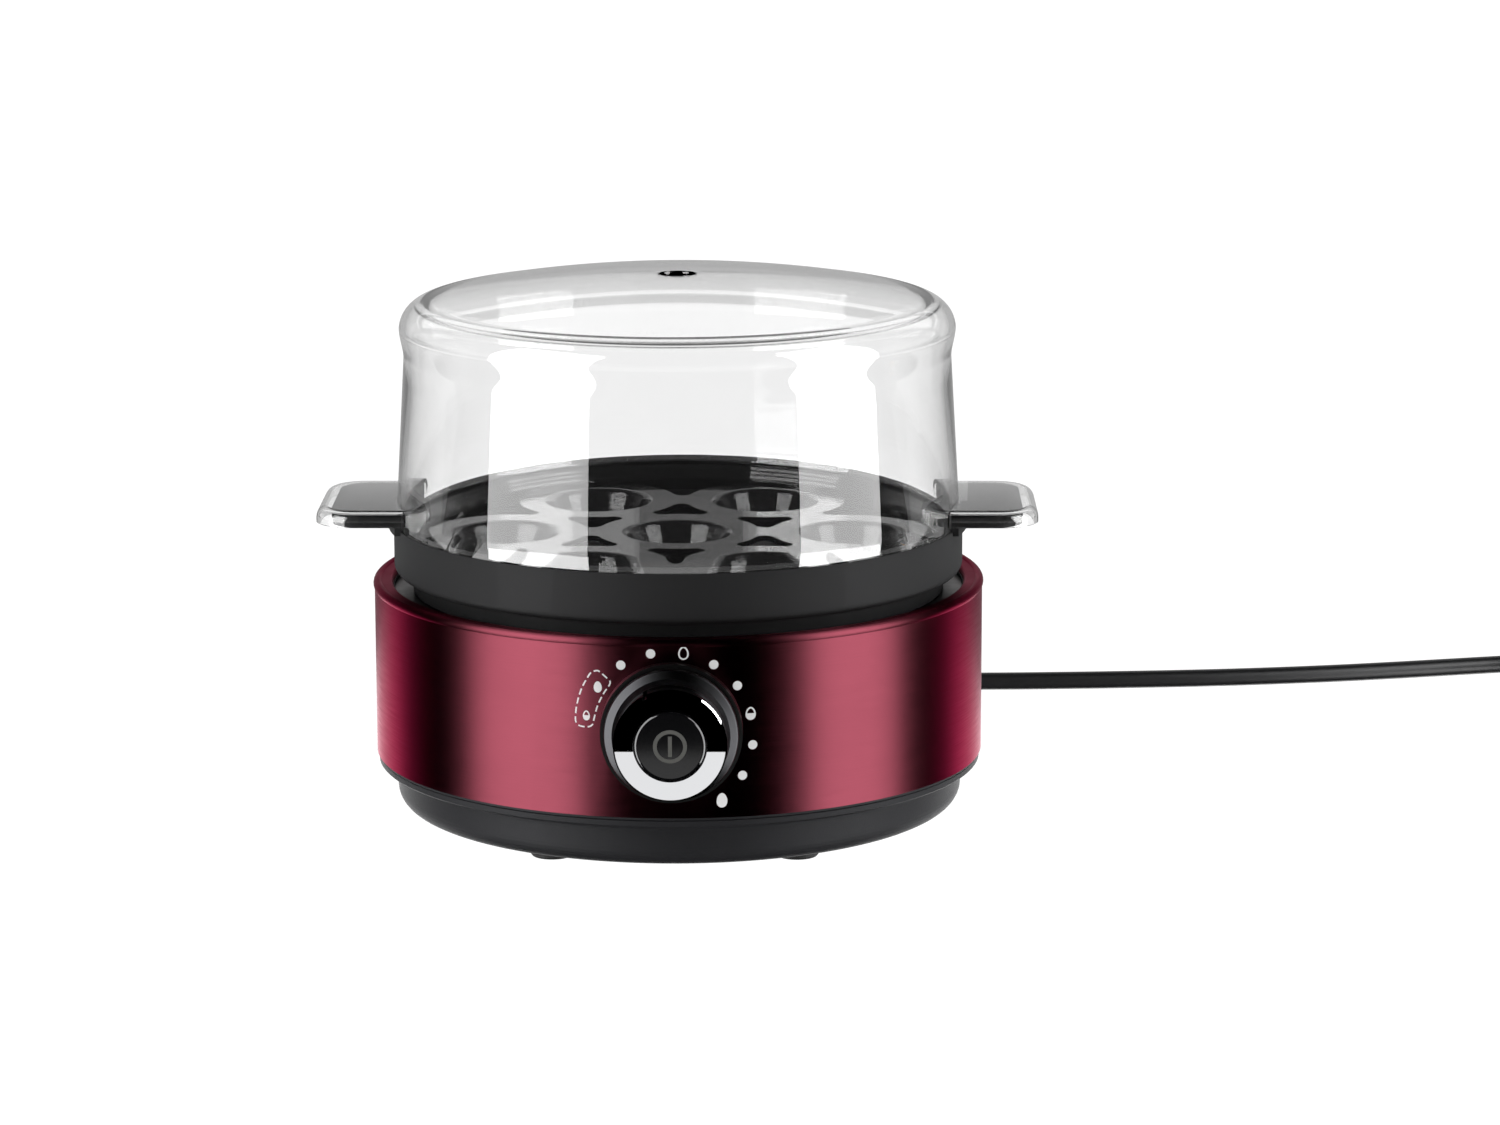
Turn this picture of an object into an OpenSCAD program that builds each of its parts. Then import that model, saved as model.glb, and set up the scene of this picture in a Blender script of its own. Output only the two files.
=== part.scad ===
// Electric egg cooker: a red metal casing on a black base, a water and heating bowl, a lift-out tray
// for seven eggs and a clear lid with two handles. The front knob sets the time, and the button
// in its middle switches the cooker on and off.
// The origin is on the body's vertical axis, on the surface that the feet stand on. +Z is up, and the
// knob faces -Y.

/* [Casing] */
// Outside diameter of the metal casing
casing_d = 200; // [190:1:212]
// Thickness of the casing's sheet
casing_t = 0.8; // [0.6:0.1:1.0]
// Height of the casing, from its lower edge to its top edge
casing_h = 57.4; // [52:0.2:64]
// Outside radius of the bead round the casing's top edge
casing_edge_r = 1.6; // [1.3:0.1:1.9]
// Bulge of the bead past the casing's side
edge_bulge = 0.4; // [0.2:0.1:0.6]
// Width of the flat flange, from the casing's side to the mouth
flange_w = 6.1; // [5:0.1:7]
// Drop of the flange below the bead's top
flange_drop = 0.5; // [0.3:0.1:0.8]
// Depth of the lip that is turned down inside the mouth
lip_depth = 2.1; // [1.8:0.1:3]
// Diameter of the hole for the knob's bezel
knob_hole_d = 39.2; // [37:0.2:41]

/* [Base] */
// Height of the feet below the base pan
foot_h = 2.5; // [1.5:0.1:4]
// Diameter of a foot
foot_d = 14; // [10:0.5:17]
// Number of feet
foot_count = 6; // [3:1:6]
// Radius of the circle that the feet stand on
foot_ring_r = 78; // [72:0.5:80]
// Diameter of a foot's plug in the base pan
foot_plug_d = 5; // [4:0.5:7]
// Inset of the base pan's side from the casing's
pan_inset = 6.8; // [5:0.1:9]
// Height of the base pan's side below its ledge
pan_h = 14.5; // [13:0.5:20]
// Rounding of the base pan's lower corner
pan_corner_r = 6; // [4:0.5:8]
// Wall and floor thickness of the base pan
pan_t = 2.4; // [1.8:0.1:3]
// Thickness of the ledge below the casing
ledge_t = 2.6; // [2:0.1:4]
// Inset of the ledge's edge from the casing's side
ledge_inset = 0.7; // [0.5:0.1:1.5]
// Height of the shadow gap between ledge and casing
shadow_gap = 0.8; // [0.5:0.1:1.5]
// Height of the spigot that centres the casing
spigot_h = 6; // [4:0.5:9]

/* [Heating bowl] */
// Thickness of the bowl's sheet
bowl_t = 1.0; // [0.8:0.1:1.5]
// Height of the bowl's shelf above its bottom
bowl_depth = 14.4; // [12:0.1:18]
// Radius of the bowl's flat bottom
bowl_bottom_r = 68; // [66:0.5:72]
// Width of the bowl's shelf, from the casing's mouth inwards
shelf_w = 8.9; // [8:0.1:9.9]
// Thickness of the silicone seal under the casing's lip
seal_t = 1.2; // [0.8:0.1:2]
// Radius of the heater plate
plate_r = 62; // [58:0.5:64]
// Thickness of the heater plate
plate_t = 4; // [3:0.5:5]
// Middle radius of the tubular heating element
element_ring_r = 46; // [42:0.5:50]
// Diameter of the heating element's tube
element_d = 6.5; // [6:0.5:8]
// Length of the heating element's two terminals
terminal_l = 12; // [8:0.5:14]
// Diameter of the thermostat
thermostat_d = 17; // [14:0.5:20]
// Height of the thermostat
thermostat_h = 9; // [7:0.5:12]

/* [Support ring] */
// Thickness of the ring that carries the bowl
support_t = 3; // [2.5:0.5:4]
// Radius of the circle of the legs
leg_ring_r = 80; // [78:0.5:82]
// Diameter of a leg
leg_d = 9; // [8:0.5:10]
// Height of the bosses that the legs stand on
boss_h = 17; // [14:0.5:20]
// Diameter of the case screws' shanks
screw_d = 3; // [2.5:0.1:3.5]
// Diameter of the case screws' heads
screw_head_d = 6; // [5:0.2:7]
// Height of the screws' heads
screw_head_h = 2; // [1.5:0.1:3]
// Depth that a screw bites into its leg
screw_bite = 9; // [6:0.5:12]

/* [Egg tray] */
// Gap between the tray's side and the casing's mouth
tray_gap = 0.5; // [0.5:0.1:1.2]
// Height of the tray's outer side
tray_side_h = 16.5; // [14:0.5:20]
// Height of the tray's side above the mouth's top
tray_proud = 3.2; // [2.8:0.1:3.6]
// Wall thickness of the tray
tray_t = 1.8; // [1.5:0.1:2.2]
// Thickness of the thin lip round the lid's rim
tray_lip_t = 0.5; // [0.4:0.1:0.8]
// Depth of the seat for the lid's rim
seat_depth = 2.2; // [1.5:0.1:3]
// Depth of the tray's floor below its rim
floor_depth = 5.8; // [5:0.2:8]
// Number of egg holes round the middle one
egg_count = 6; // [5:1:6]
// Radius of the circle of the egg holes
egg_ring_r = 57; // [55:0.5:58]
// Diameter of an egg hole
egg_hole_d = 33; // [30:0.5:34]
// Rounding of an egg hole's upper edge
egg_edge_r = 2.2; // [1.6:0.1:2.4]
// Slope of an egg hole's wall, in degrees from upright
egg_slope = 25; // [15:1:30]
// Depth of the collar under an egg hole
collar_depth = 8; // [6:0.5:9]
// Width of the web between an egg hole and the steam openings round it
web_w = 10.5; // [9:0.1:11]
// Reach of the tray's handles from the middle
tray_handle_reach = 112.4; // [110:0.2:120]
// Half width of the tray's handles
tray_handle_half_w = 27; // [22:0.5:30]
// Height of the tray handles' tops above the tray's rim
tray_handle_rise = 5; // [4:0.2:7]
// Height of the tray handles' down-turned edge
tray_handle_h = 3.8; // [3:0.2:5]

/* [Lid] */
// Gap round the lid's rim in its seat
lid_gap = 0.3; // [0.3:0.1:0.8]
// Wall thickness of the lid
lid_t = 2.2; // [1.8:0.1:2.6]
// Narrowing of the lid's side from rim to shoulder
lid_draft = 3.2; // [2:0.1:4]
// Height of the lid's side, from its rim to the step
lid_side_h = 61.5; // [55:0.5:70]
// Width of the step under the crown
crown_step = 1.4; // [0.8:0.1:2]
// Rounding of the crown's edge
crown_r = 9.5; // [6:0.5:10]
// Height of the crown's straight edge above the step
crown_edge_h = 3.2; // [2:0.2:5]
// Rise of the dome above the crown's edge
dome_rise = 8.2; // [6:0.2:14]
// Diameter of the steam hole
steam_hole_d = 12; // [8:0.5:16]
// Clearance between the lid's handles and the tray's handles
handle_gap = 0.5; // [0.5:0.1:1]
// Wall thickness of the lid's handles
handle_t = 1.3; // [1.2:0.1:1.8]
// Reach of the lid's handles past the tray's
handle_overhang = 3.4; // [1:0.1:4]
// Rounding of the handles' corners in plan
handle_corner_r = 13; // [8:0.5:16]

/* [Knob and button] */
// Height of the knob's axis above the standing surface
knob_z = 48.3; // [46.5:0.1:50]
// Diameter of the bezel behind the knob
bezel_d = 44.4; // [43.6:0.2:46]
// Reach of the bezel's front from the casing's front
bezel_proud = 3.2; // [2.8:0.1:4]
// Diameter of the knob's skirt
knob_skirt_d = 42; // [40:0.2:43]
// Diameter of the knob's face
knob_face_d = 35.3; // [33:0.1:37]
// Length of the knob, from its skirt to its face
knob_len = 15.4; // [14.5:0.1:17]
// Angle of the pointer at rest, anticlockwise from straight up
pointer_angle = 27.4; // [0:0.1:60]
// Width of the pointer's groove
pointer_w = 1.5; // [1:0.1:2.5]
// Diameter of the push button
button_d = 21.8; // [20:0.1:22.4]
// Travel of the push button
button_travel = 2.5; // [1.5:0.1:2.6]
// Outside diameter of the ring of the power symbol
symbol_d = 10.5; // [8:0.1:13]
// Line width of the power symbol
symbol_w = 1.2; // [0.8:0.1:1.6]
// Tooth size (module) of the two gears
gear_m = 1; // [0.9:0.05:1.05]
// Teeth of the knob's gear
hub_teeth = 24; // [24:1:25]
// Teeth of the potentiometer's gear
pot_teeth = 20; // [18:1:20]

/* [Board and cord entry] */
// Length of the circuit board
board_x = 62; // [50:1:68]
// Width of the circuit board
board_y = 46; // [40:1:50]
// Height of the board's posts above the pan's floor
board_post_h = 6; // [4:0.5:8]
// Diameter of the mains cord
cord_d = 6.4; // [5.8:0.1:7]
// Height of the cord's axis where it leaves the base
cord_exit_z = 10.2; // [9.8:0.1:10.6]
// Length of the strain relief outside the base
relief_len = 32; // [24:1:40]
// Middle radius of the coil's turns
coil_r = 36; // [34:0.5:38]
// Diameter of the plug's flange
plug_d = 36.8; // [35:0.2:38]
// Length of the plug's body
plug_len = 46; // [42:1:52]

/* [Hidden] */
$fn = 96;
eps = 0.01;

// Clearances
fit = 0.05;          // radial clearance of a running or sliding fit
seat = 0.3;          // gap between a piece and the seat of another body
close = 0.1;         // gap between curved faces of fixed pieces
thread_gap = 0.03;   // radial clearance of a screw in its hole
screw_clear = 0.3;   // radial clearance of a screw through a plain hole
corner_past = 0.02;  // how far a steam opening's rounded corner runs past its sides

// Levels, from the standing surface up
pan_floor = foot_h + pan_t;
ledge_z = foot_h + pan_h;
ledge_top = ledge_z + ledge_t;
casing_z = ledge_top + shadow_gap;
edge_top = casing_z + casing_h;
mouth_top = edge_top - flange_drop;
lip_bottom = mouth_top - lip_depth;
shelf_top = lip_bottom - seal_t;
bowl_inside = shelf_top - bowl_depth;
bowl_under = bowl_inside - bowl_t;
plate_under = bowl_under - plate_t;
tray_bottom = mouth_top + tray_proud;
tray_top = tray_bottom + tray_side_h;
floor_top = tray_top - floor_depth;
rim_z = tray_top - seat_depth + seat;
step_z = rim_z + lid_side_h;
crown_z = step_z + crown_edge_h;

// Radii
casing_r = casing_d / 2;
casing_inner_r = casing_r - casing_t;
mouth_r = casing_r - flange_w;
bowl_mouth_r = mouth_r - shelf_w;
pan_r = casing_r - pan_inset;
ledge_r = casing_r - ledge_inset;
spigot_r = casing_inner_r - fit * 4;
tray_r = mouth_r - tray_gap;
lid_r = tray_r - tray_lip_t - lid_gap;
lid_top_r = lid_r - lid_draft;
crown_out_r = lid_top_r + crown_step;

// The knob's parts are drawn with u measured outwards from the body's axis
casing_front = casing_r;
bezel_front = casing_front + bezel_proud;
knob_back = bezel_front + 0.4;
knob_front = knob_back + knob_len;
knob_r = knob_skirt_d / 2;
bezel_snout_r = knob_hole_d / 2 - 0.2;
bezel_snout_t = 2;
bezel_disc_t = 2;
hub_pitch_r = gear_m * hub_teeth / 2;
pot_pitch_r = gear_m * pot_teeth / 2;
hub_tube_r = 10.2;
hub_bore_r = 8.5 + fit;
sleeve_r = 8.5;
sleeve_bore_r = 6.5;
stem_r = sleeve_bore_r - fit;
rod_r = 3.5;
rod_bore_r = rod_r + fit;
gear_w = 3.2;
gear_back = casing_front - 8.7;
gear_front = gear_back + gear_w;
bracket_t = 2.5;
bracket_front = gear_back - 1.8;
bracket_back = bracket_front - bracket_t;
sleeve_front = gear_front + 15.3;
hub_front = sleeve_front + 0.6;
collar_front = bezel_front - bezel_disc_t - seat;
pot_angle = -45;
pot_dist = hub_pitch_r + pot_pitch_r;
pot_bushing_r = 3.4;
pot_shaft_r = 2.5;
pot_nut_t = 1.5;
pot_size = 16;
pot_depth = 8;
cap_back = hub_front + button_travel + seat;
cap_front = knob_front + 0.8;
rod_end = bracket_back - 1.8;
clip_t = 1.2;
switch_size = 13.6;
switch_front = rod_end - button_travel - 0.5;
switch_depth = 13;
plunger_r = 3.4;
plunger_len = 9;
guide_r = 1.5;
guide_disc_t = 1.2;
symbol_deep = 1.3;
symbol_face = 0.5;
spring_wire_d = 0.7;
spring_r = 5.1;
spring_turns = 6;
bracket_top = knob_z + 17.5;
bracket_bottom = knob_z - 29;
bracket_half_w = 25;
bracket_foot_w = 12;
bracket_foot_t = 3;

// The tray's stepped inner wall, from the seat down to the floor
seat_w = lid_t + lid_gap + 0.5;
well_r = tray_r - tray_lip_t - seat_w;
wall_steps = 3;
wall_step_w = 1.3;
floor_r = well_r - wall_steps * wall_step_w;
skirt_r = bowl_mouth_r + 5.2;
hole_r = egg_hole_d / 2;
cup_r = hole_r + egg_edge_r;
web_out_r = hole_r + web_w;

// Lid handle
handle_top = tray_top + tray_handle_rise + handle_gap + handle_t;
handle_bottom = tray_top + tray_handle_rise - tray_handle_h + seat;
handle_reach = tray_handle_reach + handle_gap + handle_t + handle_overhang;
handle_half_w = tray_handle_half_w + handle_gap + handle_t;

// Cord: the route on the standing surface and the coil beside it
cord_z = cord_d / 2;
gland_y = 84;
gland_w = 16;
gland_top_z = cord_exit_z + 6;
relief_tip = pan_r + relief_len;
tie_t = 0.6;
coil_z = cord_z + tie_t;
coil_at = [345, 153];
coil_stub = 22;
cord_route = [
    [0, relief_tip, cord_exit_z], [0, 131, 10], [2, 141, 8.9], [8, 151, 6.8], [17, 158.5, 4.7],
    [28, 162.5, 3.4], [41, 163.8, cord_z], [60, 163.4, cord_z], [83, 162.4, cord_z],
    [107, 162.3, cord_z], [132, 163.3, cord_z], [158, 165, cord_z], [186, 167.5, cord_z],
    [211, 170.8, cord_z], [236, 175.2, cord_z], [261, 180.8, cord_z], [282, 186, cord_z],
    [302, 190.4, cord_z + 0.1], [coil_at[0] - coil_stub, coil_at[1] + coil_r + cord_z, coil_z]
];
// The cord leaves the coil's top turn towards -Y and reaches the plug
top_turn_z = coil_z + cord_d - 0.15;
plug_at = [coil_at[0] + coil_r, coil_at[1] - 66];
plug_neck_r = cord_d / 2 + 1.5;
plug_rim_at = plug_len - 8;
plug_tilt = atan2(plug_d / 2 - plug_neck_r, plug_rim_at);
plug_neck_z = plug_neck_r * cos(plug_tilt) + 0.05;
tail_route = [
    [plug_at[0], coil_at[1], top_turn_z], [plug_at[0], coil_at[1] - 8, top_turn_z + 0.1],
    [plug_at[0], coil_at[1] - 17, top_turn_z + 0.1], [plug_at[0], coil_at[1] - 27, 9.4],
    [plug_at[0], coil_at[1] - 38, 6.9], [plug_at[0], coil_at[1] - 50, 4.4],
    [plug_at[0], coil_at[1] - 59, 3.6], [plug_at[0], plug_at[1], plug_neck_z]
];

function arc(c, r, a0, a1, n = 6) = [
    for (i = [0:n]) c + r * [cos(a0 + (a1 - a0) * i / n), sin(a0 + (a1 - a0) * i / n)]
];

// ---- Shapes that several pieces use ----

// Turns a profile drawn as [radius, u] about the knob's axis, with u running outwards
module at_knob(x = 0, z = 0) {
    translate([x, 0, knob_z + z]) rotate([90, 0, 0]) children();
}

module tube(r_out, r_in, h) {
    difference() {
        cylinder(r = r_out, h = h);
        translate([0, 0, -1]) cylinder(r = r_in, h = h + 2);
    }
}

// Places children on a circle
module ring_of(count, radius, first = 0) {
    for (i = [0:count - 1])
        rotate([0, 0, first + i * 360 / count]) translate([radius, 0, 0]) children();
}

module screw(shank_r, shank_len, head_r, head_h) {
    cylinder(r = head_r, h = head_h);
    translate([0, 0, head_h - eps]) cylinder(r = shank_r, h = shank_len + eps);
}

// A half-round ended tongue in plan, from the middle out to reach, on the +X side
module tongue2d(reach, half_w, corner_r) {
    square_w = half_w - corner_r;
    translate([0, -half_w]) square([reach - corner_r, 2 * half_w]);
    translate([0, -square_w]) square([reach, 2 * square_w]);
    for (s = [-1, 1]) translate([reach - corner_r, s * square_w]) circle(r = corner_r);
}

// ---- Base ----

module pan_profile() {
    corner = [pan_r - pan_corner_r, foot_h + pan_corner_r];
    ledge_edge = 0.5;
    under = 2.8;
    polygon(concat(
        [[0, foot_h]],
        arc(corner, pan_corner_r, -90, 0, 8),
        [[pan_r, ledge_z - under]],
        arc([pan_r + under, ledge_z - under], under, 180, 90, 5),
        [[ledge_r - ledge_edge, ledge_z], [ledge_r, ledge_z + ledge_edge],
         [ledge_r, ledge_top - ledge_edge], [ledge_r - ledge_edge, ledge_top],
         [casing_inner_r + casing_t / 2, ledge_top], [casing_inner_r + casing_t / 2, casing_z],
         [spigot_r, casing_z], [spigot_r, casing_z + spigot_h],
         [spigot_r - pan_t, casing_z + spigot_h], [spigot_r - pan_t, ledge_z + pan_t],
         [pan_r - pan_t + under, ledge_z + pan_t], [pan_r - pan_t, ledge_z - under + pan_t]],
        arc(corner, pan_corner_r - pan_t, 0, -90, 8),
        [[0, pan_floor]]
    ));
}

module base_pan() {
    head_recess = boss_h - pan_t;
    color("#26262a") difference() {
        union() {
            rotate_extrude() pan_profile();
            ring_of(4, leg_ring_r, 45) translate([0, 0, pan_floor - eps])
                cylinder(r = screw_head_d / 2 + 1.6, h = boss_h + eps);
            for (x = [-1, 1], y = [-1, 1])
                translate([x * (board_x / 2 - 4), y * (board_y / 2 - 4), pan_floor - eps])
                    cylinder(r = 3, h = board_post_h + eps);
            for (s = [-1, 1]) translate([s * bracket_foot_x(), -bracket_foot_y(), pan_floor - eps])
                cylinder(r = 4, h = bracket_post_h() + eps);
            for (s = [-1, 1]) translate([s * clamp_x(), clamp_y(), pan_floor - eps])
                cylinder(r = 3, h = clamp_post_h() + eps);
            translate([-terminal_x() / 2, terminal_y() - 5, pan_floor - eps]) cube([terminal_x(), 10, 1.6]);
            translate([-gland_w / 2, gland_y, pan_floor - eps])
                cube([gland_w, pan_r - pan_t + 0.5 - gland_y, gland_top_z - pan_floor]);
        }
        for (i = [0:3]) rotate([0, 0, 45 + 90 * i]) translate([leg_ring_r, 0, 0]) {
            translate([0, 0, foot_h - 1]) cylinder(r = screw_head_d / 2 + 0.3, h = head_recess + 1);
            cylinder(r = screw_d / 2 + screw_clear, h = pan_floor + boss_h + 1);
        }
        ring_of(foot_count, foot_ring_r) translate([0, 0, foot_h - 1])
            cylinder(r = foot_plug_d / 2 + close, h = pan_t + 2);
        for (x = [-1, 1], y = [-1, 1])
            translate([x * (board_x / 2 - 4), y * (board_y / 2 - 4), pan_floor])
                cylinder(r = 1 + thread_gap, h = board_post_h + 1);
        for (s = [-1, 1]) translate([s * bracket_foot_x(), -bracket_foot_y(), pan_floor])
            cylinder(r = screw_d / 2 + thread_gap, h = bracket_post_h() + 1);
        for (s = [-1, 1]) translate([s * clamp_x(), clamp_y(), pan_floor])
            cylinder(r = 1.25 + thread_gap, h = clamp_post_h() + 1);
        // Hole for the strain relief's neck
        translate([0, pan_r + 1, cord_exit_z]) rotate([90, 0, 0])
            cylinder(r = relief_neck_r() + close, h = pan_r + 2 - gland_y);
        // Room in the spigot for the potentiometer's gear
        at_knob(pot_x(), pot_dz()) translate([0, 0, gear_back - 0.6])
            cylinder(r = pot_pitch_r + gear_m + 0.6, h = gear_w + 1.2);
    }
}

module foot(i) {
    color("#1b1b1c") rotate([0, 0, i * 360 / foot_count]) translate([foot_ring_r, 0, 0]) {
        cylinder(r1 = foot_d / 2 - 0.5, r2 = foot_d / 2, h = 0.6);
        translate([0, 0, 0.6]) cylinder(r = foot_d / 2, h = foot_h - 0.6);
        translate([0, 0, foot_h - eps]) cylinder(r = foot_plug_d / 2, h = pan_t + eps);
        translate([0, 0, pan_floor]) cylinder(r1 = foot_plug_d / 2 + 0.8, r2 = foot_plug_d / 2 - 0.6, h = 2);
    }
}

// ---- Casing, bowl and support ----

module casing_profile() {
    lip_r = 1.1;
    e = casing_edge_r;
    a = [casing_r + edge_bulge - e, edge_top - e];
    b = [mouth_r + lip_r, mouth_top - lip_r];
    low = -acos((casing_r - a.x) / e);
    high = 180 - asin((mouth_top - a.y) / e);
    low_in = -acos((casing_inner_r - a.x) / (e - casing_t));
    high_in = 180 - asin((mouth_top - casing_t - a.y) / (e - casing_t));
    polygon(concat(
        [[casing_r, casing_z]],
        arc(a, e, low, high, 12),
        arc(b, lip_r, 90, 180, 5),
        [[mouth_r, lip_bottom], [mouth_r + casing_t, lip_bottom]],
        arc(b, lip_r - casing_t, 180, 90, 5),
        arc(a, e - casing_t, high_in, low_in, 12),
        [[casing_inner_r, casing_z]]
    ));
}

module outer_casing() {
    color("#8e2434") difference() {
        rotate_extrude($fn = 180) casing_profile();
        at_knob() translate([0, 0, casing_front - 12]) cylinder(r = knob_hole_d / 2, h = 20);
    }
}

module bowl_profile() {
    turn = 5;
    shelf_in = bowl_mouth_r;
    shelf_out = mouth_r + casing_t + 1.6;
    wall_in = bowl_bottom_r + 6;
    polygon([
        [0, bowl_inside], [bowl_bottom_r, bowl_inside], [bowl_bottom_r + 3, bowl_inside + 0.8],
        [wall_in, bowl_inside + turn], [shelf_in - 2, shelf_top - 2.4], [shelf_in, shelf_top],
        [shelf_out, shelf_top], [shelf_out, shelf_top - bowl_t], [shelf_in + 0.6, shelf_top - bowl_t],
        [shelf_in - 1.1, shelf_top - 2.4 - bowl_t], [wall_in + 1, bowl_inside + turn - bowl_t],
        [bowl_bottom_r + 3.6, bowl_inside - bowl_t + 0.6], [bowl_bottom_r, bowl_under], [0, bowl_under]
    ]);
}

module heating_bowl() {
    color("#b9bbbe") rotate_extrude() bowl_profile();
}

module bowl_seal() {
    color("#1b1b1d") translate([0, 0, shelf_top]) tube(mouth_r + casing_t + 1.2, mouth_r - 0.4, seal_t);
}

module support_ring() {
    ring_top = shelf_top - bowl_t;
    ring_out = mouth_r + casing_t + 1.6;
    leg_base = pan_floor + boss_h;
    leg_top = ring_top - support_t;
    color("#3a3a3c") difference() {
        union() {
            translate([0, 0, leg_top]) tube(ring_out, bowl_mouth_r + 1.2, support_t);
            for (i = [0:3]) rotate([0, 0, 45 + 90 * i]) {
                translate([leg_ring_r, 0, leg_base]) cylinder(r = leg_d / 2, h = leg_top - leg_base - 14);
                translate([leg_ring_r - 1.5, -1.5, leg_base + 12])
                    cube([bowl_mouth_r + 6 - leg_ring_r, 3, 4]);
                translate([bowl_mouth_r + 2, -leg_d / 2, leg_base + 12])
                    cube([3, leg_d, leg_top - leg_base - 12 + eps]);
            }
        }
        for (i = [0:3]) rotate([0, 0, 45 + 90 * i]) translate([leg_ring_r, 0, leg_base - 1])
            cylinder(r = screw_d / 2 + thread_gap, h = screw_bite + 2);
    }
}

module case_screws() {
    head_z = foot_h + boss_h - pan_t;
    color("#c4c6c8") ring_of(4, leg_ring_r, 45) translate([0, 0, head_z - screw_head_h])
        screw(screw_d / 2, pan_floor + boss_h + screw_bite - head_z, screw_head_d / 2, screw_head_h);
}

module heater_plate() {
    stud_len = thermostat_h + strap_t + 3.4;
    color("#a9abae") {
        difference() {
            translate([0, 0, plate_under]) cylinder(r = plate_r, h = plate_t);
            translate([0, 0, plate_under]) rotate_extrude()
                translate([element_ring_r, 0]) circle(r = element_d / 2 + close);
        }
        for (s = [-1, 1]) translate([s * stud_x(), 0, plate_under - stud_len])
            cylinder(r = stud_r, h = stud_len + eps);
    }
}

module heating_element() {
    gap_angle = 50;
    color("#6b6d70") translate([0, 0, plate_under]) rotate([0, 0, 90 + gap_angle / 2]) {
        rotate_extrude(angle = 360 - gap_angle) translate([element_ring_r, 0]) circle(r = element_d / 2);
        for (a = [0, 360 - gap_angle]) rotate([0, 0, a]) translate([element_ring_r, 0, 0]) {
            sphere(r = element_d / 2);
            translate([0, 0, -terminal_l]) cylinder(r = element_d / 2 - 1.25, h = terminal_l);
        }
    }
}

module thermostat() {
    color("#d8d2c2") translate([0, 0, plate_under - thermostat_h]) {
        cylinder(r = thermostat_d / 2, h = thermostat_h);
        for (s = [-1, 1]) translate([-2, s * (thermostat_d / 2 - 2) - 0.4, -6]) cube([4, 0.8, 6 + eps]);
    }
}

function stud_x() = thermostat_d / 2 + 6;
strap_t = 1;
strap_w = 7;
stud_r = 1.5;

// Steel strap that presses the thermostat on the heater plate
module thermostat_strap() {
    color("#c9cbcd") translate([0, 0, plate_under - thermostat_h - strap_t]) difference() {
        translate([-stud_x() - 4, -strap_w / 2, 0]) cube([2 * stud_x() + 8, strap_w, strap_t]);
        for (s = [-1, 1]) translate([s * stud_x(), 0, -1]) cylinder(r = stud_r + close, h = strap_t + 2);
    }
}

module strap_nuts() {
    nut_t = 2.4;
    color("#d6d8da") for (s = [-1, 1])
        translate([s * stud_x(), 0, plate_under - thermostat_h - strap_t - nut_t]) difference() {
            cylinder(r = 3.1, h = nut_t, $fn = 6);
            translate([0, 0, -1]) cylinder(r = stud_r + thread_gap, h = nut_t + 2);
        }
}

fuse_r = 2;
fuse_y = 26;

module thermal_fuse() {
    color("#e8e4da") translate([0, fuse_y, plate_under - fuse_r - close]) rotate([0, 90, 0]) {
        translate([0, 0, -7]) cylinder(r = fuse_r, h = 14);
        for (s = [-1, 1]) translate([0, 0, s * 9.5 - 3]) cylinder(r = 0.5, h = 6);
    }
}

// Clip that holds the fuse against the plate
module fuse_clip() {
    wall = 1.1;
    bore = fuse_r + close;
    color("#c9cbcd") translate([-2, fuse_y, plate_under - close - fuse_r]) difference() {
        translate([0, -bore - wall, -bore - wall]) cube([4, 2 * (bore + wall), bore + wall + fuse_r + close]);
        translate([-1, 0, 0]) rotate([0, 90, 0]) cylinder(r = bore, h = 6);
        translate([-1, -bore, 0]) cube([6, 2 * bore, fuse_r + 1]);
    }
}

// ---- Controls ----

function bracket_foot_x() = bracket_half_w - bracket_foot_w / 2;
function bracket_foot_y() = bracket_back - 7;
function bracket_post_h() = 4;
function bracket_foot_z() = pan_floor + bracket_post_h();

module control_bracket() {
    plate_h = bracket_top - bracket_bottom;
    arm_t = 2;
    arm_gap = switch_size / 2 + close;
    switch_back = switch_front - switch_depth;
    color("#4a4b4e") difference() {
        union() {
            translate([-bracket_half_w, -bracket_front, bracket_bottom])
                cube([2 * bracket_half_w, bracket_t, plate_h]);
            for (s = [-1, 1]) translate([s * bracket_foot_x() - bracket_foot_w / 2, 0, 0]) {
                translate([0, -bracket_back - eps, bracket_foot_z()])
                    cube([bracket_foot_w, 12, bracket_foot_t]);
                translate([0, -bracket_back - eps, bracket_foot_z()])
                    cube([bracket_foot_w, 2, bracket_bottom - bracket_foot_z() + 4]);
            }
            at_knob() translate([0, 0, bracket_front - eps])
                cylinder(r = sleeve_r, h = sleeve_front - bracket_front);
            // Two arms hold the push switch behind the plate
            for (s = [-1, 1])
                translate([s * (arm_gap + arm_t / 2) - arm_t / 2, -bracket_back - eps, knob_z - 6])
                    cube([arm_t, bracket_back - switch_back + close + arm_t, 12]);
            translate([-arm_gap - arm_t, -switch_back + close, knob_z - 6])
                cube([2 * (arm_gap + arm_t), arm_t, 12]);
        }
        at_knob() translate([0, 0, bracket_front]) cylinder(r = sleeve_bore_r, h = 40);
        at_knob() translate([0, 0, bracket_back - 1]) cylinder(r = rod_bore_r, h = bracket_t + 2);
        at_knob(pot_x(), pot_dz()) translate([0, 0, bracket_back - 1])
            cylinder(r = pot_bushing_r + close, h = bracket_t + 2);
        for (s = [-1, 1]) translate([s * bracket_foot_x(), -bracket_foot_y(), bracket_foot_z() - 1])
            cylinder(r = screw_d / 2 + screw_clear, h = bracket_foot_t + 2);
    }
}

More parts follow.
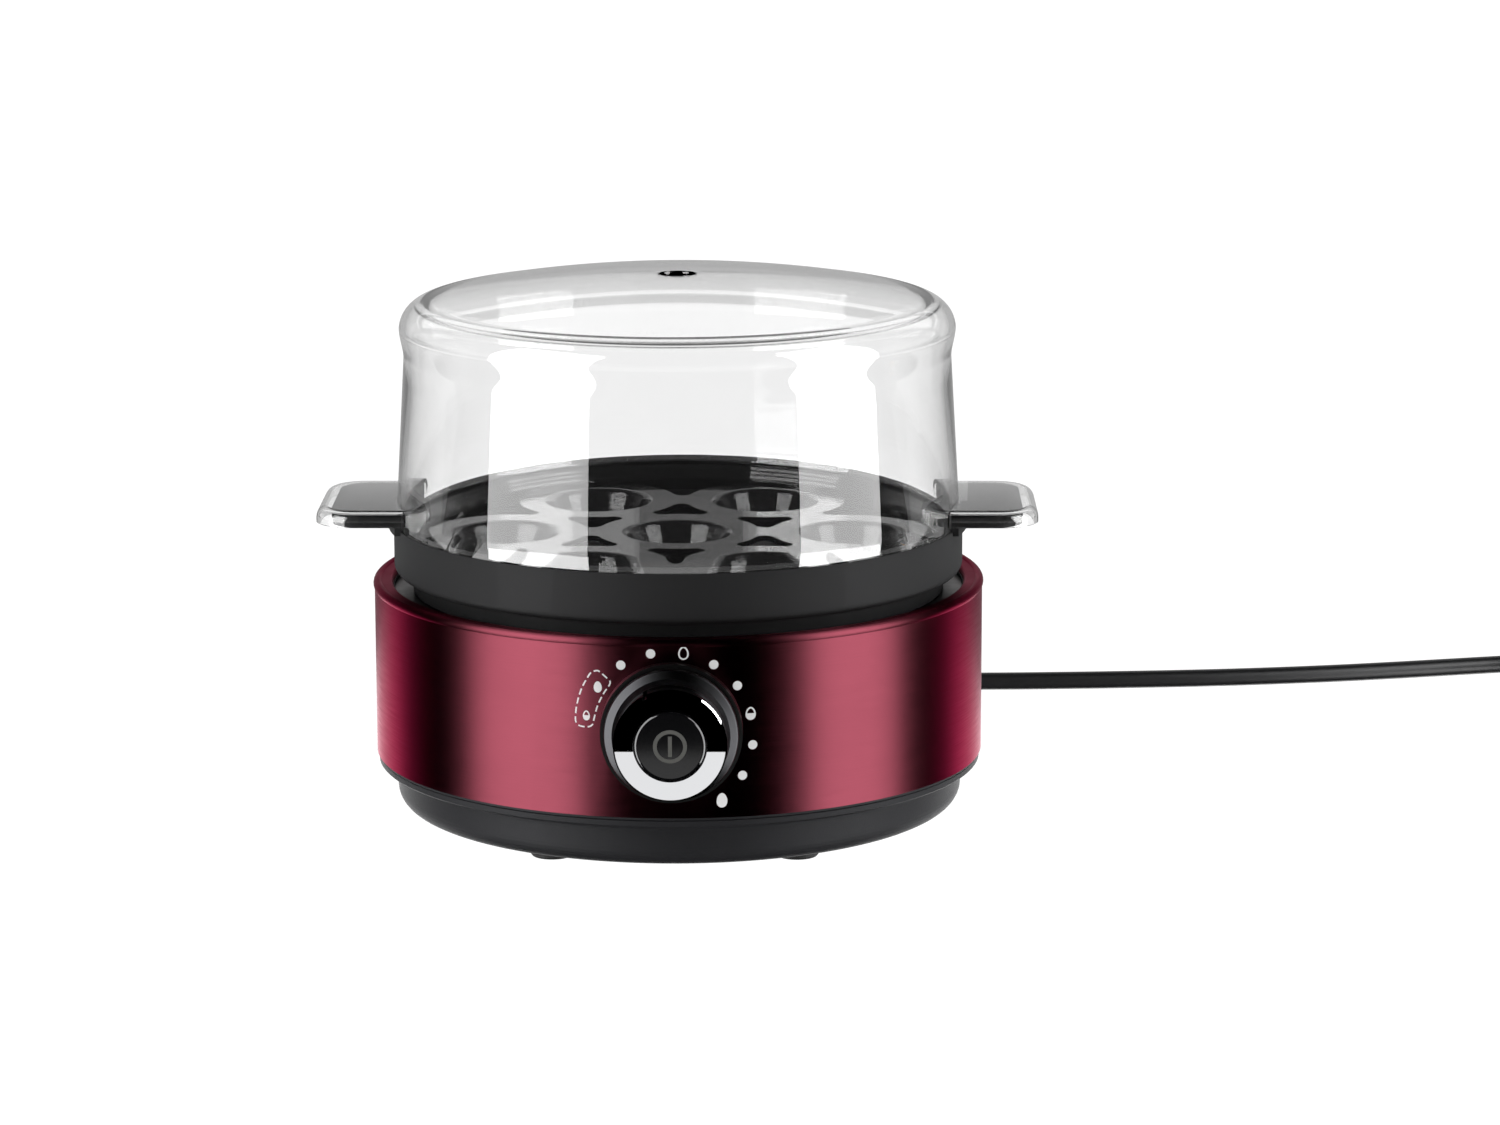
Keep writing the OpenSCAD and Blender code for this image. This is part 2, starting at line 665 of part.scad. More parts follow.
module bracket_screws() {
    color("#c4c6c8") for (s = [-1, 1])
        translate([s * bracket_foot_x(), -bracket_foot_y(), bracket_foot_z() + bracket_foot_t + screw_head_h])
            rotate([180, 0, 0])
                screw(screw_d / 2, bracket_foot_t + bracket_post_h() - 0.5, screw_head_d / 2, screw_head_h);
}

function pot_x() = pot_dist * cos(pot_angle);
function pot_dz() = pot_dist * sin(pot_angle);

module knob_bezel() {
    color("#0e0e10") difference() {
        union() {
            difference() {
                at_knob() translate([0, 0, casing_front - 6]) cylinder(r = bezel_d / 2, h = bezel_proud + 6);
                cylinder(r = casing_r + close, h = knob_z + bezel_d, $fn = 180);
            }
            at_knob() translate([0, 0, gear_front + seat])
                cylinder(r = bezel_snout_r, h = bezel_front - gear_front - seat - 1);
        }
        at_knob() translate([0, 0, gear_front - 2])
            cylinder(r = bezel_snout_r - bezel_snout_t, h = bezel_front - bezel_disc_t - gear_front + 2);
        at_knob() translate([0, 0, gear_front]) cylinder(r = hub_tube_r + 0.6, h = 20);
    }
}

// Involute gear with straight-sided chords, and backlash taken off each flank
function inv_polar(rb, r) = let (t = acos(min(1, rb / r))) tan(t) * 180 / PI - t;
module gear2d(teeth, m, backlash = 0.16) {
    rp = m * teeth / 2;
    rb = rp * cos(20);
    r_out = rp + 0.9 * m;
    r_root = rp - 1.2 * m;
    r_low = max(rb, r_root) + 0.01;
    half = 90 / teeth - backlash / (2 * rp) * 180 / PI + inv_polar(rb, rp);
    radii = [for (k = [0:3]) r_low + (r_out - r_low) * k / 3];
    polygon([for (i = [0:teeth - 1]) each let (mid = i * 360 / teeth) concat(
        [r_root * [cos(mid - half - 1.5), sin(mid - half - 1.5)]],
        [for (r = radii) let (a = mid - half + inv_polar(rb, r)) r * [cos(a), sin(a)]],
        [for (k = [3:-1:0]) let (r = radii[k], a = mid + half - inv_polar(rb, r)) r * [cos(a), sin(a)]],
        [r_root * [cos(mid + half + 1.5), sin(mid + half + 1.5)]]
    )]);
}

module potentiometer() {
    color("#2f5d8a") at_knob(pot_x(), pot_dz()) difference() {
        union() {
            translate([-pot_size / 2, -pot_size / 2, bracket_back - pot_depth])
                cube([pot_size, pot_size, pot_depth]);
            translate([0, 0, bracket_back - eps])
                cylinder(r = pot_bushing_r, h = bracket_t + pot_nut_t + eps);
        }
        translate([0, 0, bracket_back - pot_depth + 2]) cylinder(r = pot_shaft_r + fit, h = 30);
    }
}

module potentiometer_nut() {
    color("#d6d8da") at_knob(pot_x(), pot_dz()) translate([0, 0, bracket_front]) difference() {
        cylinder(r = 5.4, h = pot_nut_t, $fn = 6);
        translate([0, 0, -1]) cylinder(r = pot_bushing_r + thread_gap, h = pot_nut_t + 2);
    }
}

module potentiometer_shaft() {
    color("#cfd1d3") at_knob(pot_x(), pot_dz()) translate([0, 0, bracket_back - pot_depth + 2 + seat])
        cylinder(r = pot_shaft_r, h = gear_front - bracket_back + pot_depth - 2 - seat);
}

module potentiometer_gear() {
    // The gear is turned so that a gap faces the knob gear's tooth
    phase = 180 + pot_angle + 180 / pot_teeth;
    color("#f0efe8") at_knob(pot_x(), pot_dz()) translate([0, 0, gear_back]) difference() {
        rotate([0, 0, phase]) linear_extrude(gear_w) gear2d(pot_teeth, gear_m);
        translate([0, 0, -1]) cylinder(r = pot_shaft_r + thread_gap, h = gear_w + 2);
    }
}

module drive_hub() {
    color("#1a1a1c") at_knob() difference() {
        union() {
            translate([0, 0, gear_back]) rotate([0, 0, pot_angle])
                linear_extrude(gear_w) gear2d(hub_teeth, gear_m);
            translate([0, 0, gear_back]) cylinder(r = hub_tube_r, h = hub_front - gear_back);
            translate([0, 0, collar_front - 1.5]) cylinder(r = hub_tube_r + 2.4, h = 1.5);
        }
        translate([0, 0, gear_back - 1]) cylinder(r = hub_bore_r, h = hub_front - gear_back + 2);
    }
}

module knob_profile() {
    face_r = knob_face_d / 2;
    neck_r = face_r - 0.8;
    bore_r = button_d / 2 + seat;
    sleeve_out = hub_tube_r + 2.2;
    wall = 2;
    polygon(concat(
        [[knob_r - 0.4, knob_back], [knob_r, knob_back + 0.4], [knob_r, knob_back + 1.7]],
        arc([knob_r - 0.9, knob_back + 1.7], 0.9, 0, 70, 3),
        [[neck_r + 1.6, knob_back + 3.6], [neck_r + 0.4, knob_back + 5.6], [neck_r, knob_back + 8.2],
         [neck_r + 0.1, knob_front - 3.4], [face_r, knob_front - 0.6], [face_r - 0.5, knob_front],
         [bore_r + 0.3, knob_front], [bore_r, knob_front - 0.3], [bore_r, hub_front + seat / 2],
         [hub_tube_r + close / 2, hub_front + seat / 2], [hub_tube_r + close / 2, knob_back],
         [sleeve_out, knob_back], [sleeve_out, hub_front - 2], [neck_r - wall, hub_front - 2],
         [neck_r - wall, knob_back + 5], [knob_r - wall, knob_back + 2], [knob_r - wall, knob_back]]
    ));
}

module knob() {
    face_r = knob_face_d / 2;
    color("#b7b9bc") at_knob() difference() {
        rotate_extrude() knob_profile();
        rotate([0, 0, pointer_angle]) translate([-pointer_w / 2, face_r - 3, knob_front - 0.9])
            cube([pointer_w, 4, 2]);
        rotate([0, 0, pointer_angle]) translate([-pointer_w / 2, face_r - 1.4, knob_back + 6])
            cube([pointer_w, 4, knob_len]);
    }
}

// The power symbol, a ring with a bar in it, grown by a clearance
module symbol_2d(grow = 0) {
    difference() {
        circle(r = symbol_d / 2 + grow);
        circle(r = symbol_d / 2 - symbol_w - grow);
    }
    square([symbol_w + 2 * grow, symbol_bar() + 2 * grow], center = true);
}

// Bridges below the surface that carry the middle of the cap's top
module bridges_2d(grow = 0) {
    for (i = [0:2]) rotate([0, 0, 30 + 120 * i])
        translate([symbol_d / 2 - symbol_w - 0.5 - grow, -0.7 - grow])
        square([symbol_w + 1 + 2 * grow, 1.4 + 2 * grow]);
}

module button_cap() {
    cap_r = button_d / 2;
    color("#141416") at_knob() difference() {
        union() {
            rotate_extrude() polygon(concat(
                [[0, cap_back], [cap_r, cap_back], [cap_r, cap_front - 0.8]],
                arc([cap_r - 0.8, cap_front - 0.8], 0.8, 0, 90, 4), [[0, cap_front]]
            ));
            translate([0, 0, spring_front()]) cylinder(r = stem_r, h = cap_back - spring_front() + eps);
            difference() {
                translate([0, 0, rod_end]) cylinder(r = rod_r, h = spring_front() - rod_end + eps);
                translate([0, 0, clip_back()]) tube(rod_r + 1, rod_r - 0.6, clip_t + 2 * close);
            }
        }
        translate([0, 0, rod_end - 1]) cylinder(r = guide_r + close, h = cap_front - symbol_deep - rod_end);
        translate([0, 0, cap_front - symbol_deep - guide_disc_t - close])
            cylinder(r = symbol_d / 2 + 0.6 + close, h = guide_disc_t + 2 * close);
        translate([0, 0, cap_front - symbol_deep]) linear_extrude(symbol_deep - symbol_face) difference() {
            symbol_2d(fit);
            bridges_2d();
        }
        translate([0, 0, cap_front - symbol_face - fit]) linear_extrude(symbol_face + 1) symbol_2d(fit);
    }
}

function symbol_bar() = symbol_d - 2 * symbol_w - 1.6;
function spring_front() = gear_front + 9.5;
function spring_back() = bracket_front + 0.2;
function clip_back() = bracket_back - seat - clip_t;

module symbol_light_guide() {
    disc_back = cap_front - symbol_deep - guide_disc_t;
    color("#8f8f8c") at_knob() union() {
        translate([0, 0, disc_back]) cylinder(r = symbol_d / 2 + 0.6, h = guide_disc_t);
        translate([0, 0, cap_front - symbol_deep - eps]) linear_extrude(symbol_deep - symbol_face + 2 * eps)
            difference() {
                symbol_2d();
                bridges_2d(fit);
            }
        translate([0, 0, cap_front - symbol_face]) linear_extrude(symbol_face) symbol_2d();
        translate([0, 0, switch_front - 2]) cylinder(r = guide_r, h = disc_back - switch_front + 2 + eps);
    }
}

// A coil swept along a helix: rings of points joined by quads
module helix(r, wire_r, length, turns, per_turn = 14, sides = 6) {
    steps = turns * per_turn;
    rings = [for (i = [0:steps]) let (a = 360 * i / per_turn, c = [r * cos(a), r * sin(a),
        wire_r + (length - 2 * wire_r) * i / steps])
        [for (k = [0:sides - 1]) let (b = 360 * k / sides)
            c + wire_r * [cos(b) * cos(a), cos(b) * sin(a), sin(b)]]];
    swept_tube(rings, sides);
}

module swept_tube(rings, sides) {
    n = len(rings);
    points = [for (ring = rings) each ring];
    faces = concat(
        [for (i = [0:n - 2], k = [0:sides - 1]) let (j = (k + 1) % sides)
            [i * sides + k, (i + 1) * sides + k, (i + 1) * sides + j, i * sides + j]],
        [[for (k = [0:sides - 1]) k]],
        [[for (k = [sides - 1:-1:0]) (n - 1) * sides + k]]
    );
    polyhedron(points, faces, convexity = 8);
}

module button_spring() {
    color("#d0d2d4") at_knob() translate([0, 0, spring_back()])
        helix(spring_r, spring_wire_d / 2, spring_front() - spring_back(), spring_turns);
}

module button_clip() {
    color("#b9bbbd") at_knob() translate([0, 0, clip_back() + close])
        tube(rod_r + 1.8, rod_r - 0.6 + close, clip_t);
}

module push_switch() {
    color("#23242a") at_knob() difference() {
        translate([-switch_size / 2, -switch_size / 2, switch_front - switch_depth])
            cube([switch_size, switch_size, switch_depth]);
        translate([0, 0, switch_front - switch_depth + 1.6]) cylinder(r = plunger_r + fit, h = switch_depth);
    }
}

module switch_plunger() {
    color("#e6e4dc") at_knob() translate([0, 0, rod_end - close - plunger_len])
        tube(plunger_r, guide_r + 0.4, plunger_len);
}

module indicator_light() {
    led_back = switch_front - switch_depth + 1.6;
    color("#c23028") at_knob() translate([0, 0, led_back]) cylinder(r = guide_r, h = 4);
}

// ---- Board and wiring ----

board_t = 1.6;
board_z = pan_floor + board_post_h;

module circuit_board() {
    color("#1f5a38") difference() {
        translate([-board_x / 2, -board_y / 2, board_z]) cube([board_x, board_y, board_t]);
        for (x = [-1, 1], y = [-1, 1])
            translate([x * (board_x / 2 - 4), y * (board_y / 2 - 4), board_z - 1])
                cylinder(r = 1 + screw_clear, h = board_t + 2);
    }
}

module board_screws() {
    color("#c4c6c8") for (x = [-1, 1], y = [-1, 1])
        translate([x * (board_x / 2 - 4), y * (board_y / 2 - 4), board_z + board_t + 1.4])
            rotate([180, 0, 0]) screw(1, board_t + board_post_h - 1, 2.2, 1.4);
}

module relay() {
    color("#2d6fb0") translate([-24, -6, board_z + board_t]) cube([19, 15, 15]);
}

module capacitor() {
    color("#303236") translate([14, 8, board_z + board_t]) cylinder(r = 5, h = 12);
}

module buzzer() {
    color("#17171a") translate([12, -10, board_z + board_t]) difference() {
        cylinder(r = 6, h = 7.5);
        translate([0, 0, 6.5]) cylinder(r = 1, h = 2);
    }
}

function terminal_x() = 26;
function terminal_y() = 52;

module terminal_block() {
    color("#ecebe4") translate([-terminal_x() / 2, terminal_y() - 5, pan_floor + 1.6 - eps]) difference() {
        cube([terminal_x(), 10, 11]);
        for (i = [-1:1]) translate([terminal_x() / 2 + i * 8, 5, 4]) cylinder(r = 1.8, h = 10);
    }
}

function clamp_x() = 9;
function clamp_y() = 76;
function clamp_post_h() = cord_exit_z - pan_floor - 1.2;
function relief_neck_r() = cord_d / 2 + 1;
function relief_inner() = gland_y - close - 1.6;

// Sweeps a round tube through points, with rings square to the route
function unit(v) = v / norm(v);
function catmull(p, i, t) = let (
    n = len(p), a = p[max(i - 1, 0)], b = p[i], c = p[min(i + 1, n - 1)], d = p[min(i + 2, n - 1)])
    0.5 * ((2 * b) + (c - a) * t + (2 * a - 5 * b + 4 * c - d) * t * t + (3 * b - a - 3 * c + d) * t * t * t);
function smooth(p, per) = concat(
    [for (i = [0:len(p) - 2], k = [0:per - 1]) catmull(p, i, k / per)], [p[len(p) - 1]]);
function direction(p, i) = unit(p[min(i + 1, len(p) - 1)] - p[max(i - 1, 0)]);
module cable(points, d, sides = 8, per = 2, first_dir = undef, last_dir = undef) {
    path = smooth(points, per);
    last = len(path) - 1;
    rings = [for (i = [0:last]) let (
        w = i == 0 && first_dir != undef ? first_dir
            : i == last && last_dir != undef ? last_dir : direction(path, i),
        up = abs(w[2]) > 0.9 ? [0, 1, 0] : [0, 0, 1],
        s = unit(cross(w, up)), n = cross(s, w))
        [for (k = [0:sides - 1]) let (a = 360 * (k + 0.5) / sides)
            path[i] + d / 2 * (s * cos(a) + n * sin(a))]];
    swept_tube([for (r = rings) [for (k = [sides - 1:-1:0]) r[k]]], sides);
}

module heater_leads() {
    lead_d = 2.4;
    post = [element_ring_r * sin(25), element_ring_r * cos(25)];
    top = plate_under - 12 - close;
    color("#d9d4c8") for (s = [-1, 1])
        cable([[s * post[0], post[1], top], [s * post[0], post[1], top - 8],
               [s * (post[0] - 6), post[1] + 2, top - 18], [s * 8, terminal_y() - 2, 24],
               [s * 8, terminal_y(), pan_floor + 12.6 + close]], lead_d, 6, 2, [0, 0, -1], [0, 0, -1]);
}

module mains_lead() {
    color("#101012") translate([0, 0, cord_exit_z]) rotate([-90, 0, 0])
        translate([0, 0, terminal_y() + 5 + close])
        cylinder(r = cord_d / 2, h = relief_inner() - terminal_y() - 5 - 2 * close);
}

module cord_clamp() {
    bar_z = cord_exit_z + cord_d / 2 - 1.6;
    color("#2b2b2e") difference() {
        union() {
            translate([-clamp_x() - 4, clamp_y() - 4, pan_floor + clamp_post_h()])
                cube([2 * clamp_x() + 8, 8, bar_z + 4 - pan_floor - clamp_post_h()]);
        }
        translate([0, clamp_y() - 5, cord_exit_z]) rotate([-90, 0, 0])
            cylinder(r = cord_d / 2 + close / 2, h = 10);
        translate([-cord_d / 2 - close / 2, clamp_y() - 5, cord_exit_z - 4]) cube([cord_d + close, 10, 4]);
        for (s = [-1, 1]) translate([s * clamp_x(), clamp_y(), pan_floor])
            cylinder(r = 1.25 + screw_clear, h = 30);
    }
}

module clamp_screws() {
    top_z = cord_exit_z + cord_d / 2 - 1.6 + 4;
    color("#c4c6c8") for (s = [-1, 1]) translate([s * clamp_x(), clamp_y(), top_z + 1.6]) rotate([180, 0, 0])
        screw(1.25, top_z - pan_floor - 1, 2.6, 1.6);
}

module strain_relief() {
    neck = relief_neck_r();
    color("#17171a") translate([0, 0, cord_exit_z]) rotate([-90, 0, 0]) rotate_extrude() polygon([
        [0, relief_inner()], [neck + 0.9, relief_inner()], [neck + 0.9, relief_inner() + 1.6],
        [neck, relief_inner() + 1.6], [neck, pan_r + 0.2], [neck + 0.7, pan_r + 0.2],
        [neck + 0.7, pan_r + 1.6], [neck, pan_r + 2.4], [neck, pan_r + 3.4], [neck + 0.7, pan_r + 4.2],
        [cord_d / 2 + 0.9, relief_tip - 0.6], [cord_d / 2 + 0.4, relief_tip], [0, relief_tip]
    ]);
}

// ---- Mains cord, its coil and its plug ----

module power_cord() {
    color("#131315") cable(cord_route, cord_d, 10, 3, [0, 1, 0], [1, 0, 0]);
}

// Two turns side by side, a third that lies on them for most of the way round, and the stub
// where the cord comes in
module cord_coil() {
    wire = cord_d / 2;
    flat = wire - 0.2;
    side = acos(flat / wire);
    color("#131315") translate([coil_at[0], coil_at[1], coil_z]) {
        rotate_extrude() polygon(concat(
            arc([coil_r + wire, 0], wire, -90, 90 - side, 10),
            arc([coil_r - wire, 0], wire, 90 + side, 270, 10)
        ));
        rotate_extrude(angle = 270) translate([coil_r, top_turn_z - coil_z]) circle(r = flat + 0.3);
        translate([-coil_stub, coil_r + wire, 0]) rotate([0, 90, 0]) cylinder(r = flat, h = coil_stub);
    }
}

module cord_tie() {
    w = 2 * cord_d + 2 * close;
    h = top_turn_z + cord_d / 2 - tie_t + close;
    strap = 6;
    color("#0f0f10")
    translate([coil_at[0] - coil_r - w / 2 - tie_t, coil_at[1] - strap / 2, 0]) difference() {
        cube([w + 2 * tie_t, strap, h + 2 * tie_t]);
        translate([tie_t, -1, tie_t - close]) cube([w, strap + 2, h + close]);
    }
}

module cord_tail() {
    color("#131315") cable(tail_route, cord_d, 10, 3, [0, -1, 0], [0, -cos(plug_tilt), sin(plug_tilt)]);
}

// The plug lies on its rim and its neck, so it tilts towards its pins
module at_plug() {
    translate([plug_at[0], plug_at[1], plug_neck_z]) rotate([90 - plug_tilt, 0, 0]) children();
}

module plug_body() {
    rim_r = plug_d / 2;
    color("#131315") at_plug() rotate_extrude() polygon([
        [0, 0], [plug_neck_r, 0], [plug_neck_r + 0.8, plug_len - 32], [8.5, plug_len - 28],
        [11.5, plug_len - 20], [12.5, plug_len - 12], [rim_r - 0.6, plug_rim_at],
        [rim_r, plug_rim_at + 0.8], [rim_r, plug_len - 1.5], [rim_r - 1.5, plug_len], [0, plug_len]]);
}

module plug_pins() {
    color("#d8b45a") at_plug() for (s = [-1, 1]) translate([s * 9.5, 0, plug_len]) {
        cylinder(r = 2.4, h = 17.5);
        translate([0, 0, 17.5 - eps]) cylinder(r1 = 2.4, r2 = 1.2, h = 1.5);
    }
}

// ---- Tray and lid ----

module tray_profile() {
    side_r = 2.4;
    inner_side = tray_r - tray_t;
    seat_z = tray_top - seat_depth;
    step_h = (seat_z - floor_top) / (wall_steps + 0.5);
    under = floor_top - tray_t;
    polygon(concat(
        [[0, floor_top], [floor_r, floor_top]],
        [for (i = [0:wall_steps - 1]) each [
            [floor_r + i * wall_step_w + 0.3, floor_top + (i + 0.9) * step_h],
            [floor_r + (i + 1) * wall_step_w, floor_top + (i + 1.1) * step_h]]],
        [[well_r, seat_z], [tray_r - tray_lip_t, seat_z], [tray_r - tray_lip_t, tray_top - 0.2],
         [tray_r - 0.2, tray_top], [tray_r, tray_top - 0.2], [tray_r, tray_bottom + side_r]],
        arc([tray_r - side_r, tray_bottom + side_r], side_r, 0, -90, 5),
        [[inner_side - 0.8, tray_bottom], [inner_side - 0.8, seat_z - tray_t],
         [well_r - 0.4, seat_z - tray_t], [floor_r + 1.4, under], [skirt_r - 3, under],
         [skirt_r - 3, shelf_top + seat], [skirt_r - 3 - tray_t, shelf_top + seat],
         [skirt_r - 3 - tray_t, under], [0, under]]
    ));
}

module tray_handle_plan() {
    tongue2d(tray_handle_reach, tray_handle_half_w, handle_corner_r - handle_gap - handle_t);
}

module egg_positions() {
    children();
    ring_of(egg_count, egg_ring_r) children();
}

// The steam openings lie between three neighbouring egg cups, and between two cups and the wall.
// Their sides run round the cups, and their rounded corners run a hair past the sides
function turned(p, a) = [p.x * cos(a) - p.y * sin(a), p.x * sin(a) + p.y * cos(a)];
function mirrored(p) = [p.x, -p.y];
function beside_cup(t, r) = t + (cup_pair() - t) * r / (web_out_r + r);
function cup_pair() = [egg_ring_r * cos(180 / egg_count), egg_ring_r * sin(180 / egg_count)];
function past_pair(r) = sqrt(pow(web_out_r + r, 2) - pow(cup_pair().y, 2));

module inner_opening_2d() {
    corner_r = 3;
    middle = egg_ring_r / sqrt(3);
    corner = [cup_pair().x - past_pair(corner_r), 0];
    side = beside_cup(corner, corner_r) - [middle, 0];
    difference() {
        translate([middle, 0]) union() {
            for (a = [0, 120, 240]) rotate(a) translate(corner - [middle, 0])
                circle(r = corner_r + corner_past);
            polygon([for (a = [0, 120, 240]) each [turned(mirrored(side), a), turned(side, a)]]);
        }
        circle(r = web_out_r);
        for (s = [-1, 1]) translate([cup_pair().x, s * cup_pair().y]) circle(r = web_out_r);
    }
}

module outer_opening_2d() {
    inner_corner_r = 3;
    outer_corner_r = 1.5;
    outer_r = floor_r - 5;
    at_r = outer_r - outer_corner_r;
    turn = 180 / egg_count - acos((pow(at_r, 2) + pow(egg_ring_r, 2) - pow(web_out_r + outer_corner_r, 2))
                                  / (2 * at_r * egg_ring_r));
    inner = [cup_pair().x + past_pair(inner_corner_r), 0];
    outer = at_r * [cos(turn), sin(turn)];
    edge = [beside_cup(inner, inner_corner_r), beside_cup(outer, outer_corner_r),
            outer * outer_r / at_r, outer * (outer_r + 5) / at_r];
    difference() {
        union() {
            intersection() {
                circle(r = outer_r);
                polygon(concat(edge, [for (i = [3:-1:0]) mirrored(edge[i])]));
            }
            translate(inner) circle(r = inner_corner_r + corner_past);
            for (p = [outer, mirrored(outer)]) translate(p) circle(r = outer_corner_r + corner_past);
        }
        for (s = [-1, 1]) translate([cup_pair().x, s * cup_pair().y]) circle(r = web_out_r);
    }
}

module steam_openings_2d() {
    ring_of(egg_count, 0, 180 / egg_count) {
        inner_opening_2d();
        outer_opening_2d();
    }
}

// The space of an egg cup, with its rounded upper edge at z = 0
function cup_wall_r(z) = cup_r - egg_edge_r * cos(egg_slope)
    + (z + egg_edge_r * (1 - sin(egg_slope))) * tan(egg_slope);
module egg_cup_space() {
    low = -tray_t - collar_depth - 1;
    wall_top = -egg_edge_r * (1 - sin(egg_slope));
    translate([0, 0, low]) cylinder(r1 = cup_wall_r(low), r2 = cup_wall_r(wall_top), h = wall_top - low);
    difference() {
        translate([0, 0, wall_top]) cylinder(r = cup_r, h = 1 - wall_top);
        translate([0, 0, -egg_edge_r]) rotate_extrude() translate([cup_r, 0]) circle(r = egg_edge_r);
    }
}

module egg_tray() {
    handle_top_z = tray_top + tray_handle_rise;
    handle_bottom_z = handle_top_z - tray_handle_h;
    color("#17171a") difference() {
        union() {
            rotate_extrude($fn = 180) tray_profile();
            egg_positions() translate([0, 0, floor_top - tray_t - collar_depth]) cylinder(
                r1 = cup_wall_r(-tray_t - collar_depth) + 1.6, r2 = cup_wall_r(-tray_t) + 1.6,
                h = collar_depth + eps);
            for (s = [0, 180]) rotate([0, 0, s]) {
                difference() {
                    translate([0, 0, handle_bottom_z]) linear_extrude(tray_handle_h) tray_handle_plan();
                    translate([0, 0, handle_bottom_z - 1])
                        cylinder(r = tray_r, h = tray_handle_h + 2, $fn = 180);
                    translate([0, 0, handle_bottom_z - 1]) linear_extrude(tray_handle_h + 1 - tray_t)
                        intersection() {
                            tongue2d(tray_handle_reach - tray_t, tray_handle_half_w - tray_t,
                                     handle_corner_r - handle_gap - handle_t - tray_t);
                            translate([tray_r + tray_t, -tray_handle_half_w])
                                square([tray_handle_reach, 2 * tray_handle_half_w]);
                        }
                }
                // Root web that carries the handle on the tray's rim
                intersection() {
                    translate([0, 0, tray_top - 1.5])
                        tube(tray_r + tray_t, tray_r - tray_lip_t, tray_handle_rise + 1.5);
                    translate([0, -tray_handle_half_w, 0])
                        cube([tray_handle_reach, 2 * tray_handle_half_w, handle_top_z + tray_handle_rise]);
                }
            }
        }
        egg_positions() translate([0, 0, floor_top]) egg_cup_space();
        translate([0, 0, floor_top - tray_t - 1]) linear_extrude(tray_t + 2) steam_openings_2d();
    }
}

module lid_profile() {
    lap = 2;
    crease = 0.5;
    crown_at = [crown_out_r - crown_r, crown_z];
    dome_edge_r = crown_at.x + lap;
    apex = crown_z + crown_r + dome_rise;
    inner_edge_r = dome_edge_r - 4.6;
    drop = dome_rise + crease;
    sphere_r = (pow(dome_edge_r, 2) + pow(drop, 2)) / (2 * drop);
    dome_centre = apex - sphere_r;
    outer_angle = asin(dome_edge_r / sphere_r);
    inner_angle = asin(inner_edge_r / (sphere_r - lid_t));
    polygon(concat(
        [[lid_r - lid_t, rim_z], [lid_r, rim_z], [lid_top_r, step_z], [crown_out_r, step_z + 0.8]],
        arc(crown_at, crown_r, 0, acos(lap / crown_r) - 1, 8),
        arc([0, dome_centre], sphere_r, 90 - outer_angle, 90, 10),
        arc([0, dome_centre], sphere_r - lid_t, 90, 90 - inner_angle, 10),
        arc(crown_at, crown_r - lid_t, 62, 0, 6),
        [[lid_top_r - lid_t, step_z - 1]]
    ));
}

module lid() {
    rise = handle_top - handle_bottom;
    inner_reach = handle_reach - handle_t;
    inner_half_w = handle_half_w - handle_t;
    wall_r = lid_r - lid_t / 2;
    color("#dfe3e6", 0.5) difference() {
        union() {
            rotate_extrude($fn = 180) lid_profile();
            for (s = [0, 180]) rotate([0, 0, s]) difference() {
                translate([0, 0, handle_bottom]) linear_extrude(rise)
                    tongue2d(handle_reach, handle_half_w, handle_corner_r);
                translate([0, 0, handle_bottom - 1]) cylinder(r = wall_r, h = rise + 2, $fn = 180);
                translate([0, 0, handle_bottom - 1]) linear_extrude(rise + 1 - handle_t)
                    tongue2d(inner_reach, inner_half_w, handle_corner_r - handle_t);
            }
        }
        translate([0, 0, crown_z]) cylinder(r = steam_hole_d / 2, h = crown_r + dome_rise + 5);
    }
}

base_pan();
foot(0);  // foot_1
foot(1);  // foot_2
foot(2);  // foot_3
foot(3);  // foot_4
foot(4);  // foot_5
foot(5);  // foot_6
outer_casing();
support_ring();
case_screws();
heating_bowl();
bowl_seal();
heater_plate();
heating_element();
thermostat();
thermostat_strap();
strap_nuts();
thermal_fuse();
fuse_clip();
control_bracket();
bracket_screws();
knob_bezel();
potentiometer();
potentiometer_nut();
potentiometer_shaft();
potentiometer_gear();
drive_hub();
knob();
button_cap();
symbol_light_guide();
button_spring();
button_clip();
push_switch();
switch_plunger();
indicator_light();
circuit_board();
board_screws();
relay();
capacitor();
buzzer();
terminal_block();
heater_leads();
mains_lead();
cord_clamp();
clamp_screws();
strain_relief();
power_cord();
cord_coil();
cord_tie();
cord_tail();
plug_body();
plug_pins();
egg_tray();
lid();
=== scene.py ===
import math

import bmesh
import bpy
from mathutils import Matrix, Vector


